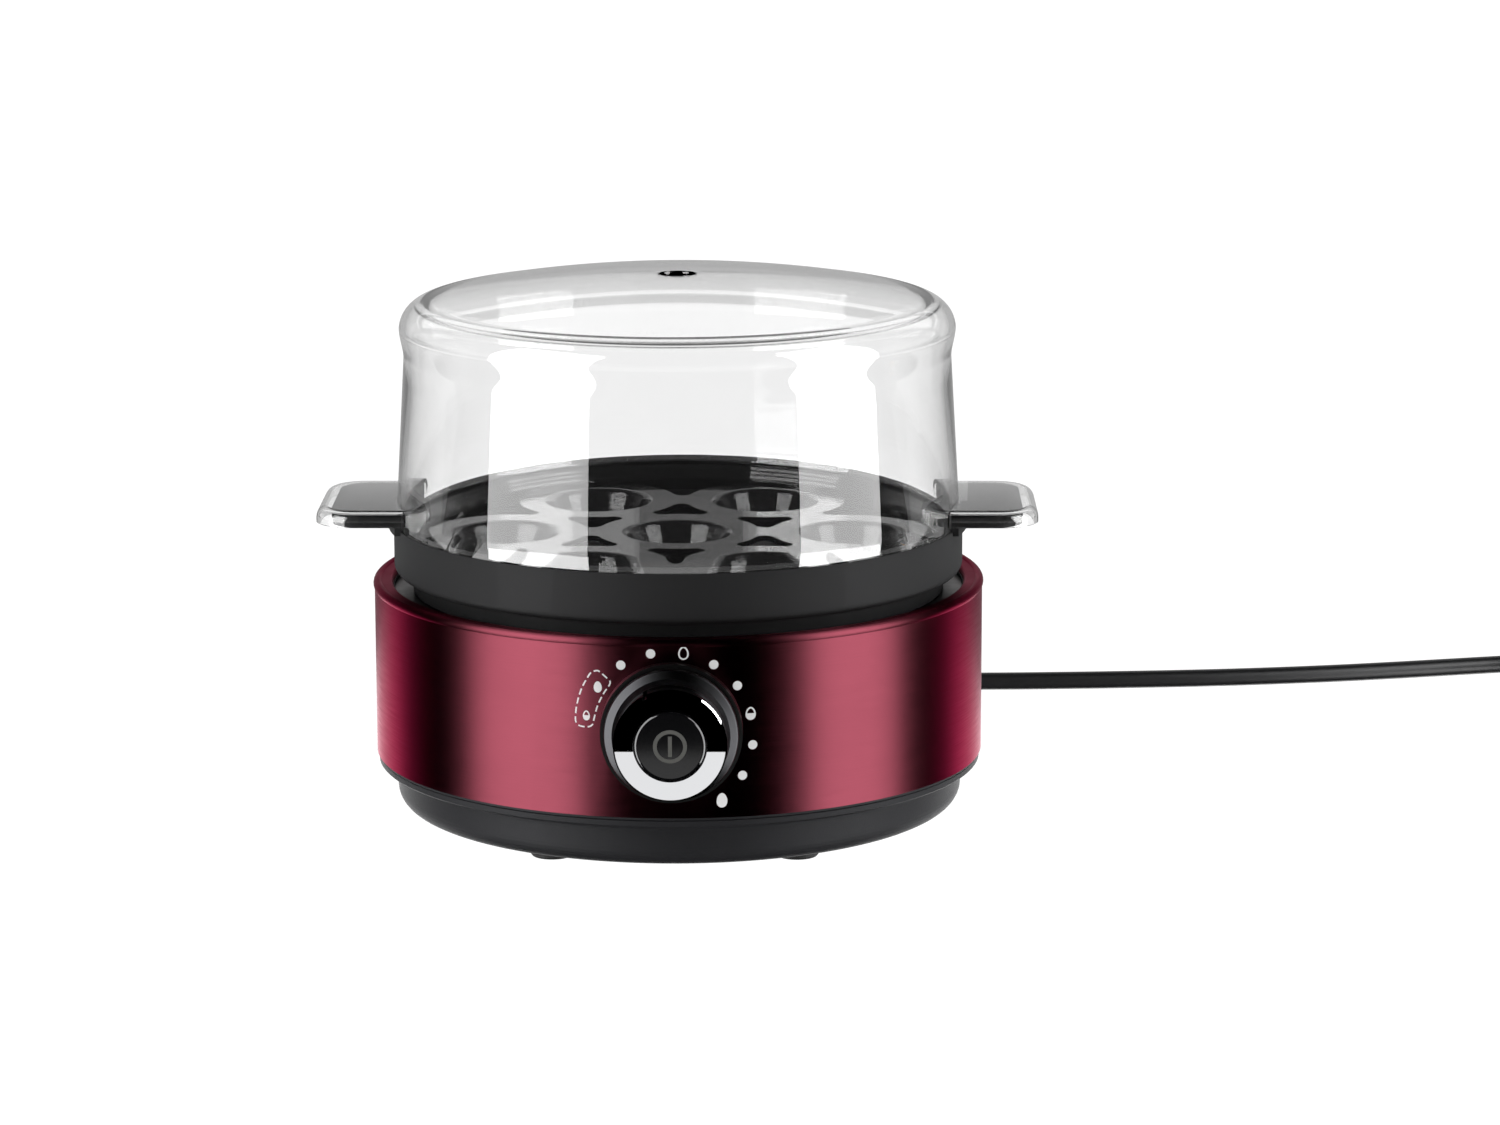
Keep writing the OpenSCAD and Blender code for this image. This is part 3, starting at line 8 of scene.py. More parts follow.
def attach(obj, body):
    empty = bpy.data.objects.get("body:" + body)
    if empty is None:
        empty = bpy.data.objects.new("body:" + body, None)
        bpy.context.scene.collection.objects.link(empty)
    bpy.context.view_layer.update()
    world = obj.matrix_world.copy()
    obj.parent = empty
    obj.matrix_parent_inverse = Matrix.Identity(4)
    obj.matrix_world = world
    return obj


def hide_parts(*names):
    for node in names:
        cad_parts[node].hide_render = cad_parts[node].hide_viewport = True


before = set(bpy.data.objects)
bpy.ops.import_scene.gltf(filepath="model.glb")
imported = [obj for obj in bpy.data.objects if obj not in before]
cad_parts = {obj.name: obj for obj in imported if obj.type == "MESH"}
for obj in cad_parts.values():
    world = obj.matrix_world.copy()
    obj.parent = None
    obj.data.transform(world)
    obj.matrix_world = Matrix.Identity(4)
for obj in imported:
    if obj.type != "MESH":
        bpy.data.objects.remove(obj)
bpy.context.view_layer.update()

# ---- Camera ----
# A long lens on a tripod, a little above the lid and slightly to the right of the knob. It stands
# 1.6 m away, so the round body shows almost no perspective.
camera_data = bpy.data.cameras.new("camera")
camera_data.sensor_width = 36
camera_data.lens = 119
camera_data.clip_end = 30
camera = bpy.data.objects.new("camera", camera_data)
camera.location = (0.0393, -1.5995, 0.4148)
camera.rotation_euler = (math.pi / 2 - 0.2056, 0.0017, 0.0095)
bpy.context.scene.collection.objects.link(camera)
bpy.context.scene.camera = camera

# ---- Mains cord ----
# A round mains cord, 6.4 mm thick, with a black PVC sheath. It comes out of the back of the base,
# lies on the worktop towards the right, is wound into a coil and ends moulded into its plug.
CORD_D = 0.0064
CORD_EXIT = Vector((0, 0.1252, 0.0102))
LYING_Z = CORD_D / 2
TIE_T = 0.0006
COIL_AT = Vector((0.345, 0.153, LYING_Z + TIE_T))
COIL_R = 0.036
COIL_TURNS = 2.25
TOP_TURN_RISE = CORD_D - 0.00015
PLUG_NECK = Vector((0.381, 0.087, 0.004474))


def through(stops, per=4):
    """Points on a smooth curve through the stops."""
    path = []
    for i in range(len(stops) - 1):
        a, b = stops[max(i - 1, 0)], stops[i]
        c, d = stops[i + 1], stops[min(i + 2, len(stops) - 1)]
        for k in range(per):
            t = k / per
            path.append(0.5 * (2 * b + (c - a) * t + (2 * a - 5 * b + 4 * c - d) * t ** 2
                               + (3 * b - a - 3 * c + d) * t ** 3))
    return path + [stops[-1]]


def eased(t, start, end, low, high):
    """A value that goes smoothly from low, at start, to high, at end."""
    s = min(max((t - start) / (end - start), 0), 1)
    return low + (high - low) * s * s * (3 - 2 * s)


run = [CORD_EXIT, Vector((0, 0.131, 0.01)), Vector((0.002, 0.141, 0.0089)), Vector((0.008, 0.151, 0.0068)),
       Vector((0.017, 0.1585, 0.0047)), Vector((0.028, 0.1625, 0.0034))]
run += [Vector((x, y, LYING_Z)) for x, y in (
    (0.041, 0.1638), (0.060, 0.1634), (0.083, 0.1624), (0.107, 0.1623), (0.132, 0.1633), (0.158, 0.165),
    (0.186, 0.1675), (0.211, 0.1708), (0.236, 0.1752), (0.261, 0.1808), (0.282, 0.186))]
run += [Vector((0.302, 0.1904, LYING_Z + 0.0001)), COIL_AT + Vector((-0.022, COIL_R + CORD_D / 2, 0))]
turns = []
for step in range(round(COIL_TURNS * 36)):
    t = step / 36
    radius = COIL_R + eased(t, 0.5, 0.85, CORD_D / 2, -CORD_D / 2) + eased(t, 1.45, 1.75, 0, CORD_D / 2)
    rise = eased(t, 1.3, 1.55, 0, TOP_TURN_RISE)
    angle = math.pi / 2 - 2 * math.pi * t
    turns.append(COIL_AT + Vector((radius * math.cos(angle), radius * math.sin(angle), rise)))
tail = [Vector((PLUG_NECK.x, COIL_AT.y - back, z)) for back, z in (
    (0, 0.01005), (0.008, 0.01015), (0.017, 0.01015), (0.027, 0.0094), (0.038, 0.0069), (0.050, 0.0044),
    (0.059, 0.0036))] + [PLUG_NECK]
cord_path = through(run)[:-1] + turns + through(tail)


def finish(name, colour, rough, metal=0.0, grain=900, depth=0.00003, stretch=(1, 1, 1), tint=0.08,
           patch=0.06, patch_size=30, ior=1.5):
    """A procedural finish: fine grain in the bump and the gloss, and broad soft patches in the colour."""
    made = bpy.data.materials.new(name)
    made.use_nodes = True
    nodes, links = made.node_tree.nodes, made.node_tree.links
    shader = nodes["Principled BSDF"]
    shader.inputs["Metallic"].default_value = metal
    shader.inputs["IOR"].default_value = ior
    place = nodes.new("ShaderNodeTexCoord")
    spread = nodes.new("ShaderNodeMapping")
    spread.inputs["Scale"].default_value = stretch
    links.new(place.outputs["Object"], spread.inputs["Vector"])
    fine = nodes.new("ShaderNodeTexNoise")
    fine.inputs["Scale"].default_value = grain
    fine.inputs["Detail"].default_value = 3
    links.new(spread.outputs["Vector"], fine.inputs["Vector"])
    broad = nodes.new("ShaderNodeTexNoise")
    broad.inputs["Scale"].default_value = patch_size
    broad.inputs["Detail"].default_value = 4
    links.new(place.outputs["Object"], broad.inputs["Vector"])
    shade = nodes.new("ShaderNodeValToRGB")
    shade.color_ramp.elements[0].position = 0.3
    shade.color_ramp.elements[1].position = 0.7
    shade.color_ramp.elements[0].color = (*[c * (1 - tint) for c in colour], 1)
    shade.color_ramp.elements[1].color = (*[c * (1 + tint) for c in colour], 1)
    links.new(broad.outputs["Fac"], shade.inputs["Fac"])
    links.new(shade.outputs["Color"], shader.inputs["Base Color"])
    gloss = nodes.new("ShaderNodeMapRange")
    gloss.inputs["From Min"].default_value = 0.3
    gloss.inputs["From Max"].default_value = 0.7
    gloss.inputs["To Min"].default_value = rough * (1 - patch)
    gloss.inputs["To Max"].default_value = rough * (1 + patch)
    links.new(fine.outputs["Fac"], gloss.inputs["Value"])
    links.new(gloss.outputs["Result"], shader.inputs["Roughness"])
    relief = nodes.new("ShaderNodeBump")
    relief.inputs["Strength"].default_value = 1
    relief.inputs["Distance"].default_value = depth
    links.new(fine.outputs["Fac"], relief.inputs["Height"])
    links.new(relief.outputs["Normal"], shader.inputs["Normal"])
    return made


def dress(material, *names):
    """Gives CAD nodes their finish."""
    for name in names:
        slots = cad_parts[name].data.materials
        slots.clear()
        slots.append(material)


sheath = finish("cord_sheath", (0.012, 0.012, 0.013), 0.42, grain=700, depth=0.00002)
cord_curve = bpy.data.curves.new("mains_cord", "CURVE")
cord_curve.dimensions = "3D"
cord_curve.bevel_depth = CORD_D / 2
cord_curve.bevel_resolution = 5
cord_curve.use_fill_caps = True
line = cord_curve.splines.new("POLY")
line.points.add(len(cord_path) - 1)
for point, at in zip(line.points, cord_path):
    point.co = (*at, 1)
line.use_smooth = True
cord_curve.materials.append(sheath)
mains_cord = bpy.data.objects.new("mains_cord", cord_curve)
bpy.context.scene.collection.objects.link(mains_cord)
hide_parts("power_cord", "cord_coil", "cord_tail")
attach(mains_cord, "base")

# ---- Plug, pins, tie and strain relief ----
# The plug is moulded onto the cord in soft black PVC, with two round brass pins. A strap of the same
# PVC ties the coil, and a tapered sleeve keeps the cord from kinking where it leaves the base.
dress(finish("plug_pvc", (0.011, 0.011, 0.012), 0.5, grain=1500), "plug_body")
dress(finish("pin_brass", (0.72, 0.52, 0.22), 0.25, metal=1.0, grain=500, stretch=(1, 12, 1)), "plug_pins")
dress(finish("tie_pvc", (0.014, 0.014, 0.015), 0.55), "cord_tie")
dress(finish("relief_pvc", (0.010, 0.010, 0.011), 0.5), "strain_relief")

# ---- Base pan and feet ----
# The pan is injection-moulded in charcoal plastic with a fine spark-eroded grain. Six soft rubber
# feet are pressed into its underside.
base_plastic = finish("base_plastic", (0.013, 0.0132, 0.0148), 0.6, grain=2400, depth=0.00004)
base_plastic.node_tree.nodes["Principled BSDF"].inputs["Specular IOR Level"].default_value = 0.15
dress(base_plastic, "base_pan")
dress(finish("foot_rubber", (0.008, 0.008, 0.008), 0.75, grain=1200),
      "foot_1", "foot_2", "foot_3", "foot_4", "foot_5", "foot_6")

# ---- Wiring in the base ----
# The mains lead ends in a white terminal block behind a screwed clamp, and two sleeved leads go
# up to the heater.
lead_pvc = finish("lead_pvc", (0.014, 0.014, 0.015), 0.45)
dress(lead_pvc, "mains_lead")
dress(finish("clamp_plastic", (0.03, 0.03, 0.032), 0.5), "cord_clamp")
dress(finish("terminal_plastic", (0.72, 0.71, 0.68), 0.45), "terminal_block")
dress(finish("lead_sleeve", (0.62, 0.58, 0.48), 0.75, grain=2500, depth=0.0001), "heater_leads")
zinc = finish("zinc_plate", (0.62, 0.63, 0.64), 0.32, metal=1.0, grain=1500, tint=0.12)
dress(zinc, "clamp_screws", "board_screws", "bracket_screws", "case_screws", "strap_nuts")

# ---- Circuit board ----
# A small board of green lacquered glass fibre carries the relay, a capacitor and a buzzer, which are
# soldered from below. It is screwed to posts of the base pan.
dress(finish("board_lacquer", (0.02, 0.16, 0.06), 0.35, tint=0.2, patch_size=220), "circuit_board")
dress(finish("relay_case", (0.05, 0.19, 0.55), 0.4), "relay")
dress(finish("component_black", (0.015, 0.015, 0.017), 0.35), "capacitor", "buzzer")

# ---- Heating bowl ----
# A spun aluminium bowl holds the water; the shelf round it is painted black, as shade in the gap under the
# tray.
# A plate with a tubular element is pressed against its underside, with a thermostat and a thermal fuse
# strapped to it.
SHELF_SHADE_FROM, SHELF_SHADE_FULL = 0.0845, 0.0855


def past_radius(nodes, links, low, high):
    """0 nearer to the axis than low, 1 farther than high."""
    flat = nodes.new("ShaderNodeVectorMath")
    flat.operation = "MULTIPLY"
    flat.inputs[1].default_value = (1, 1, 0)
    links.new(nodes["Texture Coordinate"].outputs["Object"], flat.inputs[0])
    radius = nodes.new("ShaderNodeVectorMath")
    radius.operation = "LENGTH"
    links.new(flat.outputs["Vector"], radius.inputs[0])
    past = nodes.new("ShaderNodeMapRange")
    past.inputs["From Min"].default_value = low
    past.inputs["From Max"].default_value = high
    links.new(radius.outputs["Value"], past.inputs["Value"])
    return past.outputs["Result"]


bowl_metal = finish("bowl_metal", (0.60, 0.60, 0.61), 0.3, metal=1.0, grain=260, depth=0.00002)
bowl_nodes, bowl_links = bowl_metal.node_tree.nodes, bowl_metal.node_tree.links
# Outside this radius the shelf's colour is painted near black: painted shade in the gap under the tray.
shelf_shade = bowl_nodes.new("ShaderNodeMix")
shelf_shade.data_type = "RGBA"
shelf_shade.inputs["B"].default_value = (0.012, 0.01, 0.01, 1)
bowl_links.new(past_radius(bowl_nodes, bowl_links, SHELF_SHADE_FROM, SHELF_SHADE_FULL), shelf_shade.inputs["Factor"])
bowl_links.new(bowl_nodes["Color Ramp"].outputs["Color"], shelf_shade.inputs["A"])
bowl_links.new(shelf_shade.outputs["Result"], bowl_nodes["Principled BSDF"].inputs["Base Color"])
dress(bowl_metal, "heating_bowl")
dress(finish("seal_silicone", (0.012, 0.012, 0.012), 0.6), "bowl_seal")
dress(finish("cast_plate", (0.42, 0.42, 0.43), 0.5, metal=1.0, grain=900, depth=0.00015), "heater_plate")
dress(finish("element_tube", (0.30, 0.29, 0.28), 0.4, metal=1.0, tint=0.2), "heating_element")
dress(finish("thermostat_steel", (0.55, 0.55, 0.55), 0.35, metal=1.0), "thermostat", "thermostat_strap",
      "thermal_fuse", "fuse_clip")

# ---- Support ring and casing ----
# The ring carries the bowl on four legs, which take the case screws. The casing is one drawn sheet,
# brushed all round and lacquered in a clear dark red.
dress(finish("ring_plastic", (0.03, 0.03, 0.032), 0.5), "support_ring")


def casing_lacquer():
    """Brushed metal under a clear red lacquer: the gloss is drawn out across the brushing."""
    made = finish("casing_lacquer", (0.09, 0.0195, 0.028), 0.42, metal=1.0, grain=1, depth=0.000004,
                  stretch=(70, 70, 4200), tint=0.04, patch=0.12)
    nodes, links = made.node_tree.nodes, made.node_tree.links
    shader = nodes["Principled BSDF"]
    shader.inputs["Anisotropic"].default_value = 0.85
    shader.inputs["Specular Tint"].default_value = (0.8, 0.42, 0.48, 1)
    shader.inputs["Anisotropic Rotation"].default_value = 0.25
    around = nodes.new("ShaderNodeTangent")
    around.direction_type = "RADIAL"
    around.axis = "Z"
    links.new(around.outputs["Tangent"], shader.inputs["Tangent"])
    streaks = nodes.new("ShaderNodeMapRange")
    streaks.inputs["From Min"].default_value = 0.3
    streaks.inputs["From Max"].default_value = 0.7
    streaks.inputs["To Min"].default_value = 0.93
    streaks.inputs["To Max"].default_value = 1.07
    links.new(nodes["Noise Texture"].outputs["Fac"], streaks.inputs["Value"])
    shade = nodes.new("ShaderNodeMix")
    shade.data_type = "RGBA"
    shade.blend_type = "MULTIPLY"
    shade.inputs["Factor"].default_value = 1
    links.new(nodes["Color Ramp"].outputs["Color"], shade.inputs["A"])
    links.new(streaks.outputs["Result"], shade.inputs["B"])
    links.new(shade.outputs["Result"], shader.inputs["Base Color"])
    return made


dress(casing_lacquer(), "outer_casing")

# ---- Timer scale ----
# The scale is screen-printed round the knob in white ink. Eggs stand for hard, medium and soft
# boiled, with dots between them, and a dashed line is drawn round two smaller eggs.
PRINT_R = 0.10006
PRINT_T = 0.00004
KNOB_Z = 0.0483
DOT_R = 0.00148
EGG_NARROWS, EGG_WIDER = 0.22, 1.12
DASHES, DASH_SHARE, DASH_W = 15, 0.66, 0.00048
scale_print = bmesh.new()


def egg(form, at, width, tall, line=None, filled=0.0):
    """An egg, its blunt end down: full, or a line round an empty or partly filled inside."""
    made = bmesh.ops.create_circle(form, cap_ends=True, segments=32, radius=0.5)["verts"]
    for vert in made:
        narrow = 1 - EGG_NARROWS * (vert.co.y + 0.5)
        vert.co.x *= width * narrow * EGG_WIDER
        vert.co.y *= tall
    bmesh.ops.translate(form, verts=made, vec=(at[0], at[1], 0))
    if line is None:
        return
    face = made[0].link_faces[0]
    bmesh.ops.inset_region(form, faces=[face], thickness=line, use_even_offset=True, use_boundary=True)
    if filled == 0:
        bmesh.ops.delete(form, geom=[face], context="FACES_ONLY")
        return
    level = at[1] + (filled - 0.5) * tall
    cut = bmesh.ops.bisect_plane(form, geom=[face] + list(face.edges) + list(face.verts), dist=1e-7,
                                 plane_co=(0, level, 0), plane_no=(0, 1, 0))
    above = [g for g in cut["geom"] if isinstance(g, bmesh.types.BMFace)
             and g.calc_center_median().y > level]
    bmesh.ops.delete(form, geom=above, context="FACES_ONLY")


def on_dial(angle, radius):
    """A place round the knob, clockwise from straight up."""
    turn = math.radians(angle)
    return radius * math.sin(turn), KNOB_Z + radius * math.cos(turn)


for angle, radius in ((-37, 0.0262), (-14.5, 0.0256), (32, 0.025), (55.5, 0.0251), (101, 0.026),
                      (123.3, 0.0266)):
    dot = bmesh.ops.create_circle(scale_print, cap_ends=True, segments=24, radius=DOT_R)["verts"]
    bmesh.ops.translate(scale_print, verts=dot, vec=(*on_dial(angle, radius), 0))
egg(scale_print, on_dial(8.7, 0.0253), 0.0033, 0.0043, line=0.0005)
egg(scale_print, on_dial(78.4, 0.0254), 0.0033, 0.0042, line=0.0005, filled=0.52)
egg(scale_print, on_dial(144.9, 0.0273), 0.0034, 0.0047)
egg(scale_print, on_dial(-59.5, 0.0269), 0.0026, 0.0036)
egg(scale_print, on_dial(-80.9, 0.0273), 0.0023, 0.0032, line=0.0004, filled=0.52)
dashed_line = []
for angle, radius in ((-53.5, 0.0310), (-51, 0.0300), (-50.5, 0.0288), (-50.6, 0.0255), (-51.2, 0.0246),
                      (-53.8, 0.0242), (-62, 0.0243), (-72, 0.0245), (-82, 0.0247), (-86, 0.0249),
                      (-88, 0.0258), (-88.6, 0.0270), (-88.4, 0.0288), (-87.4, 0.0300), (-84.5, 0.0307),
                      (-76, 0.0310), (-66, 0.0312), (-57, 0.0312)):
    dashed_line.append(Vector((*on_dial(angle, radius), 0)))
dashed_line = through(dashed_line + dashed_line[:2], 6)[:-6]
travelled = [0.0]
for a, b in zip(dashed_line, dashed_line[1:]):
    travelled.append(travelled[-1] + (b - a).length)
pitch = travelled[-1] / DASHES


def along(distance):
    """The point of the dashed line at a distance from its start, and its direction there."""
    distance %= travelled[-1]
    k = max(i for i, d in enumerate(travelled[:-1]) if d <= distance)
    a, b = dashed_line[k], dashed_line[k + 1]
    return a.lerp(b, (distance - travelled[k]) / (travelled[k + 1] - travelled[k])), (b - a).normalized()


for k in range(DASHES):
    dash = bmesh.ops.create_grid(scale_print, x_segments=6, y_segments=1, size=0.5)["verts"]
    for vert in dash:
        place, ahead = along((k + 0.5 + vert.co.x * DASH_SHARE) * pitch)
        vert.co = place + Vector((-ahead.y, ahead.x, 0)) * (vert.co.y * DASH_W)
bmesh.ops.recalc_face_normals(scale_print, faces=scale_print.faces)
for face in scale_print.faces:
    if face.normal.z < 0:
        face.normal_flip()
bmesh.ops.solidify(scale_print, geom=scale_print.faces[:], thickness=PRINT_T)
for vert in scale_print.verts:
    turn = vert.co.x / PRINT_R
    out = PRINT_R + vert.co.z
    vert.co = Vector((out * math.sin(turn), -out * math.cos(turn), vert.co.y))


def add_piece(name, form, material, body, crease=30):
    """Makes an object of a bmesh, smooth but for its sharp edges, and lets it ride on a body."""
    mesh = bpy.data.meshes.new(name)
    form.to_mesh(mesh)
    form.free()
    mesh.shade_smooth()
    mesh.set_sharp_from_angle(angle=math.radians(crease))
    mesh.materials.append(material)
    made = bpy.data.objects.new(name, mesh)
    bpy.context.scene.collection.objects.link(made)
    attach(made, body)
    return made


ink = finish("scale_ink", (0.72, 0.72, 0.72), 0.5, grain=3000, depth=0.000004)
add_piece("timer_scale", scale_print, ink, "base")

# ---- Timer drive ----
# A moulded bracket behind the front carries the potentiometer, the knob's gear and the push switch.
# It is screwed to posts of the base pan, and gears of white acetal turn the potentiometer.
dress(finish("bracket_plastic", (0.035, 0.035, 0.037), 0.5), "control_bracket")
dress(finish("pot_case", (0.03, 0.11, 0.28), 0.4), "potentiometer")
dress(zinc, "potentiometer_nut", "potentiometer_shaft")
dress(finish("gear_acetal", (0.82, 0.81, 0.76), 0.4), "potentiometer_gear")
dress(finish("hub_plastic", (0.015, 0.015, 0.016), 0.45), "drive_hub")
dress(finish("switch_case", (0.02, 0.02, 0.021), 0.4), "push_switch")
dress(finish("switch_white", (0.7, 0.7, 0.68), 0.4), "switch_plunger")
dress(finish("lamp_lens", (0.5, 0.02, 0.02), 0.2), "indicator_light")
dress(finish("spring_steel", (0.5, 0.5, 0.5), 0.3, metal=1.0), "button_spring", "button_clip")

# ---- Bezel, knob and button ----
# A black bezel closes the hole in the casing. The knob is plated plastic: its face is bright, behind the
# face the plating is painted nearly black as shade, and its skirt is satin. The button in it is glossy black
# with a grey symbol.
FACE_Y, SHADE_FULL_Y = -0.1184, -0.1180
POLISHED_Y, SATIN_Y = -0.1115, -0.1090
dress(finish("bezel_plastic", (0.004, 0.004, 0.004), 0.3), "knob_bezel")


def knob_plating():
    """Plating: bright on the face, painted nearly black behind it as shade, and satin only on the skirt."""
    made = finish("knob_plating", (0.80, 0.805, 0.82), 0.34, metal=1.0, grain=1600, depth=0.000003,
                  tint=0.02)
    nodes, links = made.node_tree.nodes, made.node_tree.links
    shader = nodes["Principled BSDF"]
    apart = nodes.new("ShaderNodeSeparateXYZ")
    links.new(nodes["Texture Coordinate"].outputs["Object"], apart.inputs["Vector"])
    satin = nodes.new("ShaderNodeValToRGB")
    satin.color_ramp.interpolation = "EASE"
    satin.color_ramp.elements[0].position = 0.0
    satin.color_ramp.elements[0].color = (0.03, 0.03, 0.03, 1)
    satin.color_ramp.elements[1].position = 1.0
    satin.color_ramp.elements[1].color = (1, 1, 1, 1)
    behind_face = nodes.new("ShaderNodeMapRange")
    behind_face.inputs["From Min"].default_value = POLISHED_Y
    behind_face.inputs["From Max"].default_value = SATIN_Y
    links.new(apart.outputs["Y"], behind_face.inputs["Value"])
    links.new(behind_face.outputs["Result"], satin.inputs["Fac"])
    # Behind the face the colour is painted nearly black: painted shade for the dark surroundings that the
    # plating reflects.
    painted_shade = nodes.new("ShaderNodeMix")
    painted_shade.data_type = "RGBA"
    painted_shade.inputs["B"].default_value = (0.035, 0.035, 0.037, 1)
    behind_front = nodes.new("ShaderNodeMapRange")
    behind_front.inputs["From Min"].default_value = FACE_Y
    behind_front.inputs["From Max"].default_value = SHADE_FULL_Y
    links.new(apart.outputs["Y"], behind_front.inputs["Value"])
    links.new(behind_front.outputs["Result"], painted_shade.inputs["Factor"])
    links.new(nodes["Color Ramp"].outputs["Color"], painted_shade.inputs["A"])
    links.new(painted_shade.outputs["Result"], shader.inputs["Base Color"])
    rough = nodes.new("ShaderNodeMath")
    rough.operation = "MULTIPLY"
    links.new(nodes["Map Range"].outputs["Result"], rough.inputs[0])
    links.new(satin.outputs["Color"], rough.inputs[1])
    links.new(rough.outputs["Value"], shader.inputs["Roughness"])
    links.remove(shader.inputs["Normal"].links[0])
    return made


dress(knob_plating(), "knob")
dress(finish("button_plastic", (0.0035, 0.0035, 0.004), 0.09, depth=0.000002), "button_cap")
dress(finish("symbol_plastic", (0.085, 0.085, 0.078), 0.45), "symbol_light_guide")

# ---- Egg tray ----
# One injection-moulded piece of glossy black heat-proof plastic, with seven egg cups, two handles and
# a satin outer ring. It stands loose in the casing's mouth and is lifted out by its handles.
RING_FROM, RING_FULL = 0.0926, 0.0931
SKIRT_FROM, SKIRT_FULL = 0.0825, 0.083
SKIRT_FROM_Z, SKIRT_FULL_Z = 0.0872, 0.0868


def tray_plastic():
    """Glossy plastic, satin outside the lid's seat and on the skirt below it."""
    made = finish("tray_plastic", (0.0055, 0.0055, 0.006), 0.035, grain=2200, tint=0.1, patch=0.2)
    nodes, links = made.node_tree.nodes, made.node_tree.links
    shader = nodes["Principled BSDF"]
    shader.inputs["Specular IOR Level"].default_value = 0.3
    outside = past_radius(nodes, links, RING_FROM, RING_FULL)
    apart = nodes.new("ShaderNodeSeparateXYZ")
    links.new(nodes["Texture Coordinate"].outputs["Object"], apart.inputs["Vector"])
    below = nodes.new("ShaderNodeMapRange")
    below.inputs["From Min"].default_value = SKIRT_FROM_Z
    below.inputs["From Max"].default_value = SKIRT_FULL_Z
    links.new(apart.outputs["Z"], below.inputs["Value"])
    satin = nodes.new("ShaderNodeMath")
    satin.operation = "MULTIPLY_ADD"
    satin.use_clamp = True
    links.new(below.outputs["Result"], satin.inputs[0])
    links.new(past_radius(nodes, links, SKIRT_FROM, SKIRT_FULL), satin.inputs[1])
    links.new(outside, satin.inputs[2])
    rough = nodes.new("ShaderNodeMath")
    rough.operation = "MULTIPLY_ADD"
    rough.inputs[1].default_value = 0.72
    links.new(satin.outputs["Value"], rough.inputs[0])
    links.new(nodes["Map Range"].outputs["Result"], rough.inputs[2])
    links.new(rough.outputs["Value"], shader.inputs["Roughness"])
    links.new(satin.outputs["Value"], nodes["Bump"].inputs["Strength"])
    colour = nodes.new("ShaderNodeMix")
    colour.data_type = "RGBA"
    colour.inputs["B"].default_value = (0.0052, 0.0053, 0.0057, 1)
    links.new(satin.outputs["Value"], colour.inputs["Factor"])
    links.new(nodes["Color Ramp"].outputs["Color"], colour.inputs["A"])
    links.new(colour.outputs["Result"], shader.inputs["Base Color"])
    return made


dress(tray_plastic(), "egg_tray")

# ---- Lid ----
# The lid and its two hollow handles are injection-moulded in one piece of clear plastic. The wall
# stands in the tray's seat, and the eggs' steam leaves through the hole in the dome.
LID_T = 0.0022
RIM_R, RIM_Z = 0.0926, 0.0951
STEP_R, STEP_LOW, STEP_HIGH = 0.0894, 0.151, 0.1606
CROWN_AT, CROWN_R = (0.0813, 0.1598), 0.0095
CREASE_ANGLE, CREASE, APEX_Z = 78, 0.00003, 0.17742
HOLE_R = 0.006
HANDLE_LOW, HANDLE_HIGH = 0.0985, 0.1038
HANDLE_REACH, HANDLE_HALF_W, HANDLE_CORNER_R, HANDLE_T = 0.1176, 0.0288, 0.013, 0.0013
HANDLE_EDGE_R, HANDLE_ROOT = 0.0038, 0.07
CUTS, CUT_FROM, CUT_STEP = 12, 0.0985, 0.001
CORE_R = 0.0915


def arc(middle, radius, first, last, steps):
    """Points on an arc in the plane of the outline, from the first angle to the last."""
    return [(middle[0] + radius * math.cos(math.radians(first + (last - first) * i / steps)),
             middle[1] + radius * math.sin(math.radians(first + (last - first) * i / steps)))
            for i in range(steps + 1)]


def clear_plastic():
    """Clear plastic, polished, and hardly uneven."""
    made = finish("lid_clear", (0.985, 0.985, 0.985), 0.008, ior=1.57, grain=60, depth=0.000004, tint=0.004)
    made.node_tree.nodes["Principled BSDF"].inputs["Transmission Weight"].default_value = 1.0
    return made


DOME_R = CROWN_AT[0] + CROWN_R * math.cos(math.radians(CREASE_ANGLE)) - 0.0001
DOME_AT_Z = CROWN_AT[1] + CROWN_R * math.sin(math.radians(CREASE_ANGLE)) - CREASE
dome_drop = APEX_Z - DOME_AT_Z
dome_sphere = (DOME_R ** 2 + dome_drop ** 2) / (2 * dome_drop)
dome_middle = (0, APEX_Z - dome_sphere)
edge_angle = math.degrees(math.asin(DOME_R / dome_sphere))
hole_angle = math.degrees(math.asin((HOLE_R + 0.0004) / dome_sphere))
inner_edge = math.degrees(math.asin((DOME_R - 0.0046) / (dome_sphere - LID_T)))
outline = [(RIM_R - LID_T + 0.0004, RIM_Z)] + arc((RIM_R - 0.0006, RIM_Z + 0.0006), 0.0006, -90, 0, 3)
outline += [(RIM_R + (STEP_R - RIM_R) * k / 8, RIM_Z + (STEP_LOW - RIM_Z) * k / 8) for k in range(1, 9)]
outline += [(eased(k, 0, 12, STEP_R, CROWN_AT[0] + CROWN_R), STEP_LOW + (STEP_HIGH - STEP_LOW) * k / 12)
            for k in range(1, 13)]
outline += arc(CROWN_AT, CROWN_R, 7, CREASE_ANGLE, 20)
outline += arc(dome_middle, dome_sphere, 90 - edge_angle, 90 - hole_angle, 26)
outline += [(HOLE_R + 0.0001, APEX_Z - 0.0004), (HOLE_R, APEX_Z - 0.0007), (HOLE_R, APEX_Z - LID_T + 0.0002)]
outline += arc(dome_middle, dome_sphere - LID_T, 90 - hole_angle, 90 - inner_edge, 26)
